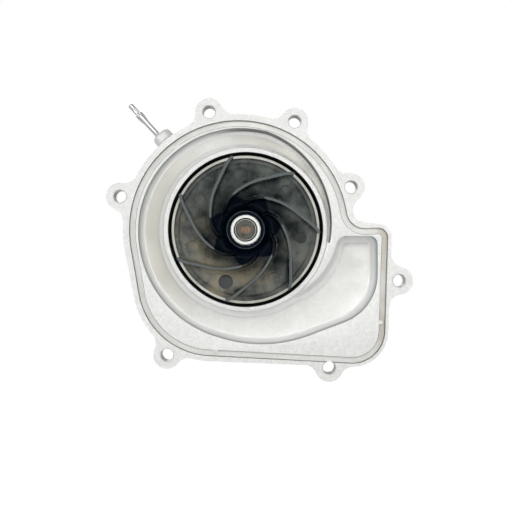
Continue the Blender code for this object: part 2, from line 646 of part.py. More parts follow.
def impeller_bush():
    """Steel bush moulded in the impeller's hub, by which it is pressed on the shaft."""
    start, end = BUSH_Y
    bore = SHAFT_R + 0.25
    turned("impeller_bush", (
        (bore + GAP, start), (BUSH_R - 0.5, start), (BUSH_R, start + 0.5), (BUSH_R, end), (bore, end),
        (bore, start + 0.4)), BRIGHT_STEEL)


def main():
    clear_scene()
    housing()
    impeller()
    impeller_bush()
    shaft()
    bearing()
    shaft_seal()
    drive()
    vent_tube()
    leak_chamber_cap()


main()
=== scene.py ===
# %% [markdown]
# # A coolant pump, from the engine side
# A cast housing carries a spinning rotor. The housing is die-cast aluminium with a few machined faces,
# and the rotor is a dark moulded impeller on a steel shaft with a belt pulley behind. The frame gives
# every size and place; the cells below build the fine shapes and finishes round it.

# %% Load the frame
import json
import math

import bmesh
import bpy
from mathutils import Matrix, Vector


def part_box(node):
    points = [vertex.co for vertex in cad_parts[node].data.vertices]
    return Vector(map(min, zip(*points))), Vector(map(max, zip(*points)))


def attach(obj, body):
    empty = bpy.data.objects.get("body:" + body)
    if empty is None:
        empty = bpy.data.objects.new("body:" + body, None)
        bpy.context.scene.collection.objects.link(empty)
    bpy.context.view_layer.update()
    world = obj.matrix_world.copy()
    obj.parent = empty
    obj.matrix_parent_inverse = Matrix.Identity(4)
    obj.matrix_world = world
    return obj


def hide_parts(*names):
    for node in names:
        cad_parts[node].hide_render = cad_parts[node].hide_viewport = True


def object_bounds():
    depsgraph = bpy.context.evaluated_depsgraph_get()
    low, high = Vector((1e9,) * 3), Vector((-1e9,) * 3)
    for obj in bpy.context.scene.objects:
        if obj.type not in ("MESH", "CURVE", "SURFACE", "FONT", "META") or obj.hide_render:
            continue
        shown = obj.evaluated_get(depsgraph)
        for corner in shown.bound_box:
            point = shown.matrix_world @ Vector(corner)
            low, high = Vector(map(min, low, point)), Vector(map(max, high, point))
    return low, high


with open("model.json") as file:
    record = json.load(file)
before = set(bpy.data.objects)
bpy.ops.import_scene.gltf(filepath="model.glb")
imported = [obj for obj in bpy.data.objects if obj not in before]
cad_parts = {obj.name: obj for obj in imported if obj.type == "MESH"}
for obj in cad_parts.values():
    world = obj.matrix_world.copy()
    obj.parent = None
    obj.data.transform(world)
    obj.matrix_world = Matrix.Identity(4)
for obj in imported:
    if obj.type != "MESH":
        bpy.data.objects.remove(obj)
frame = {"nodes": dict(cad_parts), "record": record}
cad_low, cad_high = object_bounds()
print("frame box in mm:", [round(side * 1000, 1) for side in cad_high - cad_low])

# %% [markdown]
# ## Camera
# The pump is looked at square on, along the shaft, from 0.6 m. A little way off the axis on purpose:
# the far walls of the holes then show on one side. The camera comes first so that every later cell
# can be judged through it.

# %% Camera
EYE = Vector((0.0076, -0.6, -0.01915))
FRAME_WIDTH = 0.36864  # how much of the mating plane the picture is wide

camera_data = bpy.data.cameras.new("camera")
camera_data.sensor_width = 36.0
camera_data.lens = camera_data.sensor_width * -EYE.y / FRAME_WIDTH
camera_data.clip_start, camera_data.clip_end = 0.01, 50.0
camera = bpy.data.objects.new("camera", camera_data)
camera.location = EYE
camera.rotation_euler = (math.radians(90), 0, 0)
bpy.context.scene.collection.objects.link(camera)
bpy.context.scene.camera = camera
print("lens:", round(camera_data.lens, 1), "mm")

# %% [markdown]
# ## Turning a bmesh into a piece
# Shapes are drawn in millimetres, because that is how the pump is measured, and scaled to metres at
# the end. The place of a piece is in its mesh, so its object stays at the origin.

# %% Mesh helpers
MM = 0.001
TAU = math.tau
CREASE = math.radians(30)  # edges sharper than this stay sharp in the shading
PAST = 6.0  # how far a cutter reaches past the face that it opens


def as_object(name, bm, finish=None):
    """An object from a bmesh in millimetres, with its place in its mesh."""
    bmesh.ops.remove_doubles(bm, verts=bm.verts, dist=1e-4)
    bmesh.ops.recalc_face_normals(bm, faces=bm.faces)
    bmesh.ops.scale(bm, vec=(MM, MM, MM), verts=bm.verts)
    mesh = bpy.data.meshes.new(name)
    bm.to_mesh(mesh)
    bm.free()
    if finish:
        mesh.materials.append(finish)
    mesh.shade_smooth()
    mesh.set_sharp_from_angle(angle=CREASE)
    thing = bpy.data.objects.new(name, mesh)
    bpy.context.scene.collection.objects.link(thing)
    return thing


def drop(*things):
    for thing in things:
        bpy.data.objects.remove(thing, do_unlink=True)


def settle(thing):
    """Puts the result of the modifiers into the mesh itself."""
    graph = bpy.context.evaluated_depsgraph_get()
    mesh = bpy.data.meshes.new_from_object(thing.evaluated_get(graph), depsgraph=graph)
    thing.modifiers.clear()
    thing.data = mesh
    mesh.shade_smooth()
    mesh.set_sharp_from_angle(angle=CREASE)
    return thing


def combine(thing, operation, *others):
    """Joins others to a thing or cuts them from it, one after the other, and removes them."""
    for other in others:
        modifier = thing.modifiers.new(other.name, "BOOLEAN")
        modifier.operation = operation
        modifier.object = other
        modifier.solver = "MANIFOLD"
        modifier.material_mode = "TRANSFER"
    settle(thing)
    drop(*others)
    return thing


def triangles(thing):
    return sum(len(face.vertices) - 2 for face in thing.data.polygons)


print("1 unit of a shape is", MM, "m; cutters reach", PAST, "mm past a face")

# %% [markdown]
# ## Turned, extruded and lofted shapes
# Most of a pump is round, so most pieces start as a profile of (radius, y) points that is spun round
# the shaft. Flat outlines are extruded, and the scroll, whose section changes all the way round, is
# bridged from loop to loop. Small chamfers are drawn in the profiles themselves.


# %% Turned and extruded shapes
def loop(bm, points):
    verts = [bm.verts.new(point) for point in points]
    return verts, [bm.edges.new(pair) for pair in zip(verts, verts[1:] + verts[:1])]


def turned_mesh(profile, facets=96):
    """A bmesh of a closed (radius, y) profile spun round the Y axis."""
    bm = bmesh.new()
    verts, edges = loop(bm, [(radius, y, 0.0) for radius, y in profile])
    bmesh.ops.spin(bm, geom=verts + edges, cent=(0, 0, 0), axis=(0, 1, 0), angle=TAU,
                   steps=facets, use_merge=True)
    bmesh.ops.remove_doubles(bm, verts=bm.verts, dist=1e-4)
    bmesh.ops.recalc_face_normals(bm, faces=bm.faces)
    return bm


def turned(name, profile, finish=None, facets=96, at=(0, 0)):
    """The same as an object, with its axis at (x, z)."""
    bm = turned_mesh(profile, facets)
    bmesh.ops.translate(bm, vec=(at[0], 0, at[1]), verts=bm.verts)
    return as_object(name, bm, finish)


def tube(inner, outer, start, end):
    return ((inner, start), (outer, start), (outer, end), (inner, end))


def rod(radius, start, end):
    return tube(0.0, radius, start, end)


def extruded(points, way):
    """A bmesh of a flat face extruded along a vector."""
    bm = bmesh.new()
    face = bm.faces.new([bm.verts.new(point) for point in points])
    grown = bmesh.ops.extrude_face_region(bm, geom=[face])["geom"]
    moved = [item for item in grown if isinstance(item, bmesh.types.BMVert)]
    bmesh.ops.translate(bm, vec=way, verts=moved)
    return bm


def prism(name, outline, start, end, finish=None):
    """A flat (x, z) outline extruded from y = start to y = end."""
    bm = extruded([(x, start, z) for x, z in outline], (0, end - start, 0))
    return as_object(name, bm, finish)


print("a rod of radius 3, 0 to 8:", len(turned_mesh(rod(3, 0, 8)).faces), "faces")

# %% [markdown]
# ## Lofts and places round the shaft
# A shape is drawn in the easiest place, beside the axes, and only then swung round the shaft or
# pointed away from it. That keeps every profile readable.


# %% Lofts and places
def lofted(name, sections, finish=None):
    """Closed loops of points bridged one to the next, with a face on each end."""
    bm = bmesh.new()
    loops = [loop(bm, section)[1] for section in sections]
    for first, second in zip(loops, loops[1:]):
        bmesh.ops.bridge_loops(bm, edges=first + second)
    bmesh.ops.contextual_create(bm, geom=loops[0])
    bmesh.ops.contextual_create(bm, geom=loops[-1])
    return as_object(name, bm, finish)


def swung(bm, degrees):
    """Swings a shape drawn at +X round the shaft to an angle."""
    turn = Matrix.Rotation(-math.radians(degrees), 3, "Y")
    bmesh.ops.rotate(bm, cent=(0, 0, 0), matrix=turn, verts=bm.verts)
    return bm


def pointed_out(bm, degrees, y, aside=0.0):
    """Turns a shape made along Y to point away from the shaft at an angle round it."""
    angle = math.radians(degrees)
    out = Vector((math.cos(angle), 0, math.sin(angle)))
    across = Vector((math.sin(angle), 0, -math.cos(angle)))
    turn = Matrix((out.cross(across), out, across)).transposed().to_4x4()
    place = Matrix.Translation(across * aside + Vector((0, y, 0)))
    bmesh.ops.transform(bm, matrix=place @ turn, verts=bm.verts)
    return bm


def at_angle(radius, degrees):
    """(x, z) of a spot at a distance from the shaft and an angle round it."""
    angle = math.radians(degrees)
    return radius * math.cos(angle), radius * math.sin(angle)


print("10 mm out at 90 degrees is", [round(part, 1) for part in at_angle(10, 90)])

# %% [markdown]
# ## Outlines from circles
# The flange and the scroll are chains of circles joined by common tangents, the way a draughtsman
# draws a casting. A circle with a negative radius is a hollow corner, so an ear grows out of the rim
# with a smooth fillet on each side.


# %% Outline helpers
def edge_normal(first, second):
    (ax, az, ar), (bx, bz, br) = first, second
    lead = max(-1.0, min(1.0, (ar - br) / math.hypot(bx - ax, bz - az)))
    return math.atan2(bz - az, bx - ax) - math.acos(lead)


def outline(circles, step_deg=3.0, start=None, end=None):
    """Points round a closed chain of circles, or along an open one from normal angle start to end."""
    normals = [edge_normal(a, b) for a, b in zip(circles, circles[1:] + circles[:1])]
    points = []
    slack = math.radians(3)
    for i, (x, z, radius) in enumerate(circles):
        into = start if start is not None and i == 0 else normals[i - 1]
        out = end if end is not None and i == len(circles) - 1 else normals[i]
        side = math.copysign(1, radius)
        turn = side * ((side * (out - into) + slack) % TAU - slack)
        steps = max(1, round(abs(turn) / math.radians(step_deg)))
        for k in range(steps + 1):
            angle = into + turn * k / steps
            point = (x + radius * math.cos(angle), z + radius * math.sin(angle))
            if not points or math.dist(point, points[-1]) > 0.1:
                points.append(point)
    if math.dist(points[0], points[-1]) < 0.1:
        points.pop()
    return points


def fillet_between(first, second, radius):
    """Hollow circle that touches two round corners on the outer side of the way between them."""
    (ax, az, ar), (bx, bz, br) = first, second
    span = math.hypot(bx - ax, bz - az)
    ux, uz = (bx - ax) / span, (bz - az) / span
    along = ((ar + radius) ** 2 - (br + radius) ** 2 + span**2) / (2 * span)
    aside = math.sqrt((ar + radius) ** 2 - along**2)
    return (ax + along * ux + aside * uz, az + along * uz - aside * ux, -radius)


def fillets_on_edge(before, after, ear, radius):
    """The two hollow circles beside an ear that stands on the straight edge between two corners."""
    angle = edge_normal(before, after)
    nx, nz = math.cos(angle), math.sin(angle)
    level = before[0] * nx + before[1] * nz + before[2] + radius
    along = ear[1] * nx - ear[0] * nz
    half = math.sqrt((ear[2] + radius) ** 2 - (level - ear[0] * nx - ear[1] * nz) ** 2)
    return [(level * nx - t * nz, level * nz + t * nx, -radius) for t in (along - half, along + half)]


print("fillet between two corners:", fillet_between((0, 0, 8), (20, 0, 8), 9))

# %% [markdown]
# ## What the frame says
# The bolt holes, the blade count and the pulley windows are read from the record, and the heights of
# the main faces from the boxes of the nodes, so nothing here can drift away from the frame.

# %% Places from the frame
openings = {item["name"]: item["box_m"] for item in frame["record"]["physics"]["openings"]}


def centre_of(opening):
    low, high = openings[opening]
    return (low[0] + high[0]) / 2 / MM, (low[2] + high[2]) / 2 / MM


EAR_NAMES = ("outlet_top", "top_right", "top_left", "left", "lower_left", "bottom", "right")
EARS = {name: centre_of(f"bolt_hole_{name}") for name in EAR_NAMES}
BLADES = sum(name.startswith("blade_passage") for name in openings)
WINDOWS = [centre_of(name) for name in openings if name.startswith("pulley_window")]


def span(node, axis):
    low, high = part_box(node)
    return low[axis] / MM, high[axis] / MM


IMPELLER_R = span("impeller", 2)[1]
BLADE_TOP_Y = span("impeller", 1)[0]
SHAFT_Y = span("pump_shaft", 1)
BOSS_END_Y = span("pump_housing", 1)[1]
PULLEY_Y = span("pulley", 1)
print(len(EARS), "ears,", BLADES, "blades, impeller radius", round(IMPELLER_R, 1))

# %% [markdown]
# ## Driving sizes of the housing
# The same circles as the frame's: the rim round the scroll, the two lower corners, the outlet corner
# and the neck between the outlet and the rim.

# %% Housing sizes
RIM = (-4.9, -0.3, 83.3)
LOWER_LEFT = (-24.0, -37.5, 57.5)
LOWER_RIGHT = (77.0, -73.0, 26.0)
OUTLET_CORNER = (95.5, -6.0, 10.0)
NECK = (86.1, 14.0, -8.8)
EAR_R, EAR_FILLET_R, BOLT_HOLE_R = 10.0, 9.0, 4.5
FLANGE_T, EAR_T, EAR_PAD_R = 11.0, 13.0, 9.3
GROOVE_INSET, GROOVE_W, GROOVE_D = 4.6, 4.1, 3.5
SCROLL_ARCS = (
    (80.0, (-8.4, 4.3, 70.6)),
    (168.0, (-3.3, -0.9, 73.9)),
    (255.0, (2.2, -1.3, 79.5)),
)
POCKET_CHAIN = ((11.5, 14.0, 96.8), (59.0, -32.7, 36.3), (94.2, -5.7, 1.0))
TONGUE_DEG, POCKET_DEG = -9.0, 345.0
POCKET_END_Z, POCKET_CORNER_R = -4.7, 6.0
RIDGE = (12.0, 3.0, 55.6)
TONGUE_DEPTH, POCKET_DEPTH = 12.0, 27.0
WALL = 4.5
LAND_Y, LAND_OUTER_R, TROUGH_INNER_R = 3.0, 59.6, 59.2
CHAMBER_R, CHAMBER_FLOOR_Y = 56.1, 21.0
BOSS_R, SEAL_SEAT_R, BEARING_SEAT_R = 23.0, 18.4, 15.2
TUBE_DEG, TUBE_Y, TUBE_BOSS_OFFSET = 132.8, 8.5, 1.5
LEAK_CHAMBER, LEAK_CHAMBER_R = (0.0, -36.0), 14.0


def flange_circles():
    ears = {name: (x, z, EAR_R) for name, (x, z) in EARS.items()}
    chain = [NECK, ears["outlet_top"], fillet_between(ears["outlet_top"], RIM, EAR_FILLET_R), RIM]
    for name in ("top_right", "top_left", "left"):
        chain += [fillet_between(RIM, ears[name], EAR_FILLET_R), ears[name]]
        chain += [fillet_between(ears[name], RIM, EAR_FILLET_R), RIM]
    corner = ears["lower_left"]
    chain += [LOWER_LEFT, fillet_between(LOWER_LEFT, corner, EAR_FILLET_R), corner]
    chain += [fillet_between(corner, LOWER_LEFT, EAR_FILLET_R), LOWER_LEFT]
    bottom, right = ears["bottom"], ears["right"]
    chain += [fillets_on_edge(LOWER_LEFT, LOWER_RIGHT, bottom, EAR_FILLET_R)[0], bottom]
    chain += [fillet_between(bottom, LOWER_RIGHT, EAR_FILLET_R), LOWER_RIGHT]
    below, above = fillets_on_edge(LOWER_RIGHT, OUTLET_CORNER, right, EAR_FILLET_R)
    return chain + [below, right, above, OUTLET_CORNER]


print(len(outline(flange_circles())), "points round the flange")

# %% [markdown]
# ## The scroll
# The scroll is a trough that widens and deepens round the impeller, from the tongue to the outlet
# pocket. Its section is a steep wall, a rounded floor and a drafted outer wall with a soft lip, and
# sections every few degrees are bridged to one long cutter.


# %% Scroll sections
def reach(circle, degrees):
    """Distance from the shaft axis to a circle round it, at an angle."""
    x, z, radius = circle
    c, s = math.cos(math.radians(degrees)), math.sin(math.radians(degrees))
    return x * c + z * s + math.sqrt(radius**2 - (x * s - z * c) ** 2)


def crossing(chain, degrees):
    """Distance from the shaft axis to a chain of points, at an angle."""
    c, s = math.cos(math.radians(degrees)), math.sin(math.radians(degrees))
    for (ax, az), (bx, bz) in zip(chain, chain[1:]):
        a, b = az * c - ax * s, bz * c - bx * s
        if a <= 0 <= b and a != b and ax * c + az * s > 0:
            t = a / (a - b)
            return (ax + (bx - ax) * t) * c + (az + (bz - az) * t) * s
    raise ValueError(f"the scroll's wall doesn't reach {degrees} degrees")


def scroll_stations(step_deg, end_steps):
    """(inner point, outer point, depth, height of the inner edge) from the tongue to the pocket."""
    pocket = outline(list(POCKET_CHAIN), 2.0, math.radians(240), TAU / 4)
    steps = round((POCKET_DEG - TONGUE_DEG) / step_deg)
    stations = []
    for k in range(steps + 1):
        share = k / steps
        degrees = TONGUE_DEG + share * (POCKET_DEG - TONGUE_DEG)
        c, s = math.cos(math.radians(degrees)), math.sin(math.radians(degrees))
        inner = max(TROUGH_INNER_R, reach(RIDGE, degrees) if degrees > 270 else 0)
        arc = next((circle for limit, circle in SCROLL_ARCS if degrees < limit), None)
        outer = reach(arc, degrees) if arc else crossing(pocket, degrees)
        depth = TONGUE_DEPTH + (POCKET_DEPTH - TONGUE_DEPTH) * share
        edge_y = LAND_Y if inner < LAND_OUTER_R + 0.3 else 0.0
        stations.append(((inner * c, inner * s), (outer * c, outer * s), depth, edge_y))
    corner_z = POCKET_END_Z - POCKET_CORNER_R
    right = POCKET_CHAIN[-1][0] + POCKET_CHAIN[-1][2]
    ends = [(corner_z - 3.0, 0.0)]
    ends += [(corner_z + POCKET_CORNER_R * math.sin(a), POCKET_CORNER_R * (1 - math.cos(a)))
             for a in (TAU / 4 * k / (end_steps - 1) for k in range(end_steps))]
    for z, taken in ends:
        left = RIDGE[0] + math.sqrt(RIDGE[2] ** 2 - (z - RIDGE[1]) ** 2)
        stations.append(((left + taken, z), (right - taken, z), POCKET_DEPTH - taken, 0.0))
    return stations


def arc(centre, radius, start_deg, end_deg, steps):
    """Points (t, y) of an arc whose angle is measured from +t towards +y."""
    angles = [math.radians(start_deg + (end_deg - start_deg) * k / steps) for k in range(steps + 1)]
    return [(centre[0] + radius * math.cos(a), centre[1] + radius * math.sin(a)) for a in angles]


def trough_section(inner, outer, depth, edge_y):
    width = math.dist(inner, outer)
    ux, uz = (outer[0] - inner[0]) / width, (outer[1] - inner[1]) / width
    ridge = edge_y == 0.0
    edge = 1.4 if ridge and width > 12 else 0.4
    lip = min(0.5, 0.2 * width)
    lean, draft = (0.10 if ridge else 0.06) * width, 0.025 * width
    inner_r, outer_r = min(5.5, 0.3 * width), min(3.0, 0.24 * width)
    points = [(-edge, -PAST)] + arc((-edge, edge_y + edge), edge, -90, 0, 4)
    points += arc((lean + inner_r, depth - inner_r), inner_r, 180, 90, 7)
    points += arc((width - draft - outer_r, depth - outer_r), outer_r, 90, 4, 8)
    points += arc((width + lip, lip), lip, 180, 270, 4) + [(width + lip, -PAST)]
    return [(inner[0] + t * ux, y, inner[1] + t * uz) for t, y in points]


def trough(finish):
    stations = scroll_stations(step_deg=2.5, end_steps=9)
    return lofted("trough", [trough_section(*station) for station in stations], finish)


print(len(scroll_stations(2.5, 9)), "sections along the scroll")

# %% [markdown]
# ## Effects shared by the finishes
# Each effect is a node group that puts out plain values, so that every finish can use it with its own
# numbers. `grain` is the fine pebbling of a blasted casting, with slow patches over it. `turning` is
# the set of fine rings that a lathe leaves round the shaft axis. `stains` are soft blotches.

# %% Node helpers
def effect(name, inputs, outputs):
    """An empty node group with float inputs (name, default) and float outputs."""
    group = bpy.data.node_groups.new(name, "ShaderNodeTree")
    for label, value in inputs:
        socket = group.interface.new_socket(label, in_out="INPUT", socket_type="NodeSocketFloat")
        socket.default_value = value
    for label in outputs:
        group.interface.new_socket(label, in_out="OUTPUT", socket_type="NodeSocketFloat")
    return group, group.nodes.new("NodeGroupInput"), group.nodes.new("NodeGroupOutput")


def node(tree, kind, values=None, **settings):
    made = tree.nodes.new(kind)
    for key, value in settings.items():
        setattr(made, key, value)
    for key, value in (values or {}).items():
        if isinstance(value, bpy.types.NodeSocket):
            tree.links.new(value, made.inputs[key])
        else:
            made.inputs[key].default_value = value
    return made


def maths(operation, first, second=0.0):
    """A sum of sockets and numbers, made in the tree that the first socket belongs to."""
    tree = next(value.id_data for value in (first, second) if isinstance(value, bpy.types.NodeSocket))
    return node(tree, "ShaderNodeMath", {0: first, 1: second}, operation=operation).outputs[0]


def times(first, second):
    return maths("MULTIPLY", first, second)


def plus(first, second):
    return maths("ADD", first, second)


def ramp(value, low, high, to_low=0.0, to_high=1.0):
    """A value carried from low..high to to_low..to_high, and held at the ends."""
    return node(value.id_data, "ShaderNodeMapRange", {
        "Value": value, "From Min": low, "From Max": high, "To Min": to_low, "To Max": to_high},
        interpolation_type="SMOOTHSTEP").outputs["Result"]


def spot(tree):
    """Where on the pump a point is."""
    return node(tree, "ShaderNodeTexCoord").outputs["Object"]


def noise(place, scale, detail=3.0, roughness=0.55):
    return node(place.id_data, "ShaderNodeTexNoise", {
        "Vector": place, "Scale": scale, "Detail": detail, "Roughness": roughness}).outputs["Fac"]


print("node helpers:", [made.__name__ for made in (effect, node, maths, ramp, noise)])

# %% [markdown]
# ## Grain, turning and stains
# The three effects themselves. Each reads its size in millimetres from an input, so that a small part
# and a large one can share it, and each is noise stretched or bent to what made the mark.


# %% Effect groups
def grain_group():
    group, given, out = effect("grain", (("Size", 1.0), ("Patch Size", 30.0)), ("Height", "Patches"))
    place = spot(group)
    per_metre = maths("DIVIDE", 1000.0, given.outputs["Size"])
    fine = noise(place, per_metre, 2.0)
    coarse = noise(place, maths("DIVIDE", per_metre, 3.5), 2.0)
    height = plus(times(fine, 0.6), times(coarse, 0.4))
    patches = noise(place, maths("DIVIDE", 1000.0, given.outputs["Patch Size"]), 3.0)
    group.links.new(height, out.inputs["Height"])
    group.links.new(ramp(patches, 0.32, 0.68), out.inputs["Patches"])
    return group


def turning_group():
    group, given, out = effect("turning", (("Pitch", 0.4),), ("Height", "Streaks"))
    place = spot(group)
    parts = node(group, "ShaderNodeSeparateXYZ", {"Vector": place}).outputs
    square = plus(times(parts["X"], parts["X"]),
                   times(parts["Z"], parts["Z"]))
    radius = plus(maths("SQRT", square), parts["Y"])
    rings = times(radius, maths("DIVIDE", 1000.0, given.outputs["Pitch"]))
    height = node(group, "ShaderNodeTexNoise", {"W": rings, "Scale": 1.0, "Detail": 2.0},
                  noise_dimensions="1D").outputs["Fac"]
    slower = times(rings, 0.21)
    streaks = node(group, "ShaderNodeTexNoise", {"W": slower, "Scale": 1.0},
                   noise_dimensions="1D").outputs["Fac"]
    group.links.new(height, out.inputs["Height"])
    group.links.new(ramp(streaks, 0.35, 0.65), out.inputs["Streaks"])
    return group


def stains_group():
    group, given, out = effect("stains", (("Size", 12.0), ("Cover", 0.5)), ("Mask",))
    place = spot(group)
    blotches = noise(place, maths("DIVIDE", 1000.0, given.outputs["Size"]), 5.0, 0.6)
    edge = maths("SUBTRACT", 0.72, times(given.outputs["Cover"], 0.4))
    mask = ramp(blotches, edge, plus(edge, 0.14))
    group.links.new(mask, out.inputs["Mask"])
    return group


GRAIN, TURNING, STAINS = grain_group(), turning_group(), stains_group()
print("effects:", [group.name for group in (GRAIN, TURNING, STAINS)])

# %% [markdown]
# ## Finishes
# A finish starts as a Principled shader with its constants set straight on it. Colour, roughness and
# relief are then fed by the effects. Bright pieces are metallic, moulded and rubber ones aren't.


# %% Finish helpers
def finish(name, metallic=0.0, **constants):
    """A new material and its tree. Constants go on the shader's own sockets, with _ for a space."""
    made = bpy.data.materials.new(name)
    made.use_nodes = True
    shader = made.node_tree.nodes["Principled BSDF"]
    shader.inputs["Metallic"].default_value = metallic
    for key, value in constants.items():
        shader.inputs[key.replace("_", " ")].default_value = value
    return made, made.node_tree


def placed(tree, group, **values):
    made = node(tree, "ShaderNodeGroup", node_tree=group)
    for key, value in values.items():
        made.inputs[key.replace("_", " ")].default_value = value
    return made.outputs


def mix(share, first, second):
    """The first colour where share is 0, the second where it is 1."""
    tree = share.id_data
    made = node(tree, "ShaderNodeMix", data_type="RGBA")
    tree.links.new(share, made.inputs["Factor"])
    for socket, colour in ((made.inputs["A"], first), (made.inputs["B"], second)):
        if isinstance(colour, bpy.types.NodeSocket):
            tree.links.new(colour, socket)
        else:
            socket.default_value = (*colour, 1.0)
    return made.outputs["Result"]


def wear_in(made, colour, effects, smooth, rough, depth_mm):
    """Feeds the shader its colour, and from the two effects (height, mask) its relief and roughness."""
    tree = made.node_tree
    shader = tree.nodes["Principled BSDF"]
    height, mask = effects[0], effects[1]
    tree.links.new(colour, shader.inputs["Base Color"])
    tree.links.new(ramp(mask, 0, 1, smooth, rough), shader.inputs["Roughness"])
    bump = node(tree, "ShaderNodeBump", {"Strength": 1.0, "Distance": depth_mm * MM, "Height": height})
    tree.links.new(bump.outputs["Normal"], shader.inputs["Normal"])
    return made


def height_in(tree, axis="Y"):
    return node(tree, "ShaderNodeSeparateXYZ", {"Vector": spot(tree)}).outputs[axis]


def vector(tree, operation, first, second=(0, 0, 0)):
    return node(tree, "ShaderNodeVectorMath", {0: first, 1: second}, operation=operation).outputs


def along(tree, way):
    """How far a point lies in a direction, in metres."""
    return vector(tree, "DOT_PRODUCT", spot(tree), way)["Value"]


def off_axis(tree, stretch=(1, 0, 1)):
    """How far a point lies from the shaft axis, in metres."""
    return vector(tree, "LENGTH", vector(tree, "MULTIPLY", spot(tree), stretch)[0])["Value"]


print("finish helpers:", [made.__name__ for made in (finish, placed, mix, wear_in, along, off_axis)])

# %% [markdown]
# ## Cast and machined aluminium
# The casting was blasted, so it is pale, fine grained and almost matt, with a painted light gradient that
# makes it lighter towards the lower right. Inside the scroll it is slightly tan in places. The mating
# face, the land and the bores are machined: a little brighter and smoother, with the grain almost gone.


# %% Aluminium finishes
def painted_light_gradient(tree):
    """Painted light: 0 at the upper left of the casting, 1 at its lower right, so the lower right is
    painted lighter, as if more light fell there.
    """
    return ramp(along(tree, (0.45, 0.0, -0.9)), -0.09, 0.09)


def speckled(tree, grain, dark, pale, specks=0.5):
    """Slow patches and the painted light gradient between two tones, with the grain itself showing as
    fine specks.
    """
    slow = mix(times(plus(grain["Patches"], painted_light_gradient(tree)), 0.5), dark, pale)
    fine = times(ramp(grain["Height"], 0.62, 0.38), specks)
    return mix(fine, slow, tuple(0.72 * part for part in dark))


def cast_aluminium():
    made, tree = finish("cast_aluminium", metallic=0.45)
    grain = placed(tree, GRAIN, Size=1.0, Patch_Size=24.0)
    stains = placed(tree, STAINS, Size=9.0, Cover=0.3)
    pale = speckled(tree, grain, (0.73, 0.735, 0.715), (0.85, 0.85, 0.83), 0.25)
    colour = mix(times(stains["Mask"], 0.16), pale, (0.55, 0.53, 0.48))
    return wear_in(made, colour, grain, 0.46, 0.56, 0.16)


def machined_aluminium():
    made, tree = finish("machined_aluminium", metallic=0.35)
    grain = placed(tree, GRAIN, Size=0.95, Patch_Size=22.0)
    specks = placed(tree, STAINS, Size=1.8, Cover=0.25)
    pale = speckled(tree, grain, (0.725, 0.73, 0.71), (0.87, 0.87, 0.85), 0.4)
    colour = mix(times(specks["Mask"], 0.22), pale, (0.52, 0.515, 0.49))
    return wear_in(made, colour, grain, 0.48, 0.58, 0.10)


CAST, MACHINED = cast_aluminium(), machined_aluminium()
print("outer finishes of the housing:", CAST.name, MACHINED.name)

# %% [markdown]
# ## Inside the scroll and the groove
# Here the colour changes with the shape, and light and shade are painted on: walls are painted dark as
# shade, fillets carry a painted highlight and the scroll's floor is tan in places, while the bores behind
# the impeller are painted near black as shadow. So these finishes read which way a face points and how
# deep it lies, not a picture.


# %% Finishes of the hollows
def facing(tree):
    """1 where a face looks forward, 0 where it is a wall."""
    way = node(tree, "ShaderNodeNewGeometry").outputs["Normal"]
    return maths("ABSOLUTE", node(tree, "ShaderNodeSeparateXYZ", {"Vector": way}).outputs["Y"])


def cored_aluminium():
    """The scroll, with light and shade painted on: the outer wall is painted dark as shade, darkest at
    the lip and near black along the narrow top, and painted lighter deeper down; the walls that look away
    from the shaft are painted pale; the fillets carry a painted highlight; and the floor is tan on the
    left and along the narrow top."""
    made, tree = finish("cored_aluminium", metallic=0.45)
    grain = placed(tree, GRAIN, Size=1.0, Patch_Size=20.0)
    way = node(tree, "ShaderNodeNewGeometry").outputs["Normal"]
    flat = vector(tree, "MULTIPLY", spot(tree), (1, 0, 1))[0]
    outward = vector(tree, "DOT_PRODUCT", way, flat)["Value"]
    front = facing(tree)
    pale = speckled(tree, grain, (0.68, 0.68, 0.655), (0.785, 0.785, 0.755), 0.25)
    # This mask marks the narrow upper part of the scroll: its outer wall is painted near black there as
    # shadow, and its floor is tan.
    painted_shadow_top = times(ramp(along(tree, (0.7, 0, 0.7)), 0.030, 0.052),
                   ramp(height_in(tree, "X"), 0.078, 0.070))
    side = maths("MAXIMUM", ramp(height_in(tree, "X"), -0.025, -0.065),
                 times(painted_shadow_top, 0.8))
    tan = mix(times(side, 0.85), pale, (0.56, 0.55, 0.485))
    # Painted highlight: the fillets, which turn a little from the front, are painted near white.
    fillet = mix(ramp(front, 0.93, 0.995), (0.97, 0.97, 0.96), tan)
    # Painted light: the outer wall is painted lighter the deeper it lies.
    deep = ramp(height_in(tree), 0.008, 0.018)
    painted_light_wall = mix(deep, (0.66, 0.685, 0.70), (0.97, 0.97, 0.97))
    # Painted shadow: along the narrow top the outer wall is painted near black.
    painted_light_and_shadow_wall = mix(painted_shadow_top, painted_light_wall, (0.12, 0.12, 0.12))
    # Painted shade: the outer wall is painted dark grey at the lip.
    wall = mix(ramp(height_in(tree), 0.002, 0.009), (0.27, 0.28, 0.285), painted_light_and_shadow_wall)
    # Painted light: walls that look away from the shaft are painted pale.
    painted_walls = mix(ramp(outward, 0.012, 0.035), wall, (0.92, 0.92, 0.905))
    colour = mix(ramp(front, 0.05, 0.40), painted_walls, fillet)
    return wear_in(made, colour, grain, 0.42, 0.52, 0.12)


def bored_aluminium():
    made, tree = finish("bored_aluminium", metallic=0.4)
    rings = placed(tree, TURNING, Pitch=0.6)
    colour = mix(rings["Streaks"], (0.62, 0.625, 0.61), (0.72, 0.725, 0.71))
    return wear_in(made, colour, rings, 0.4, 0.5, 0.02)


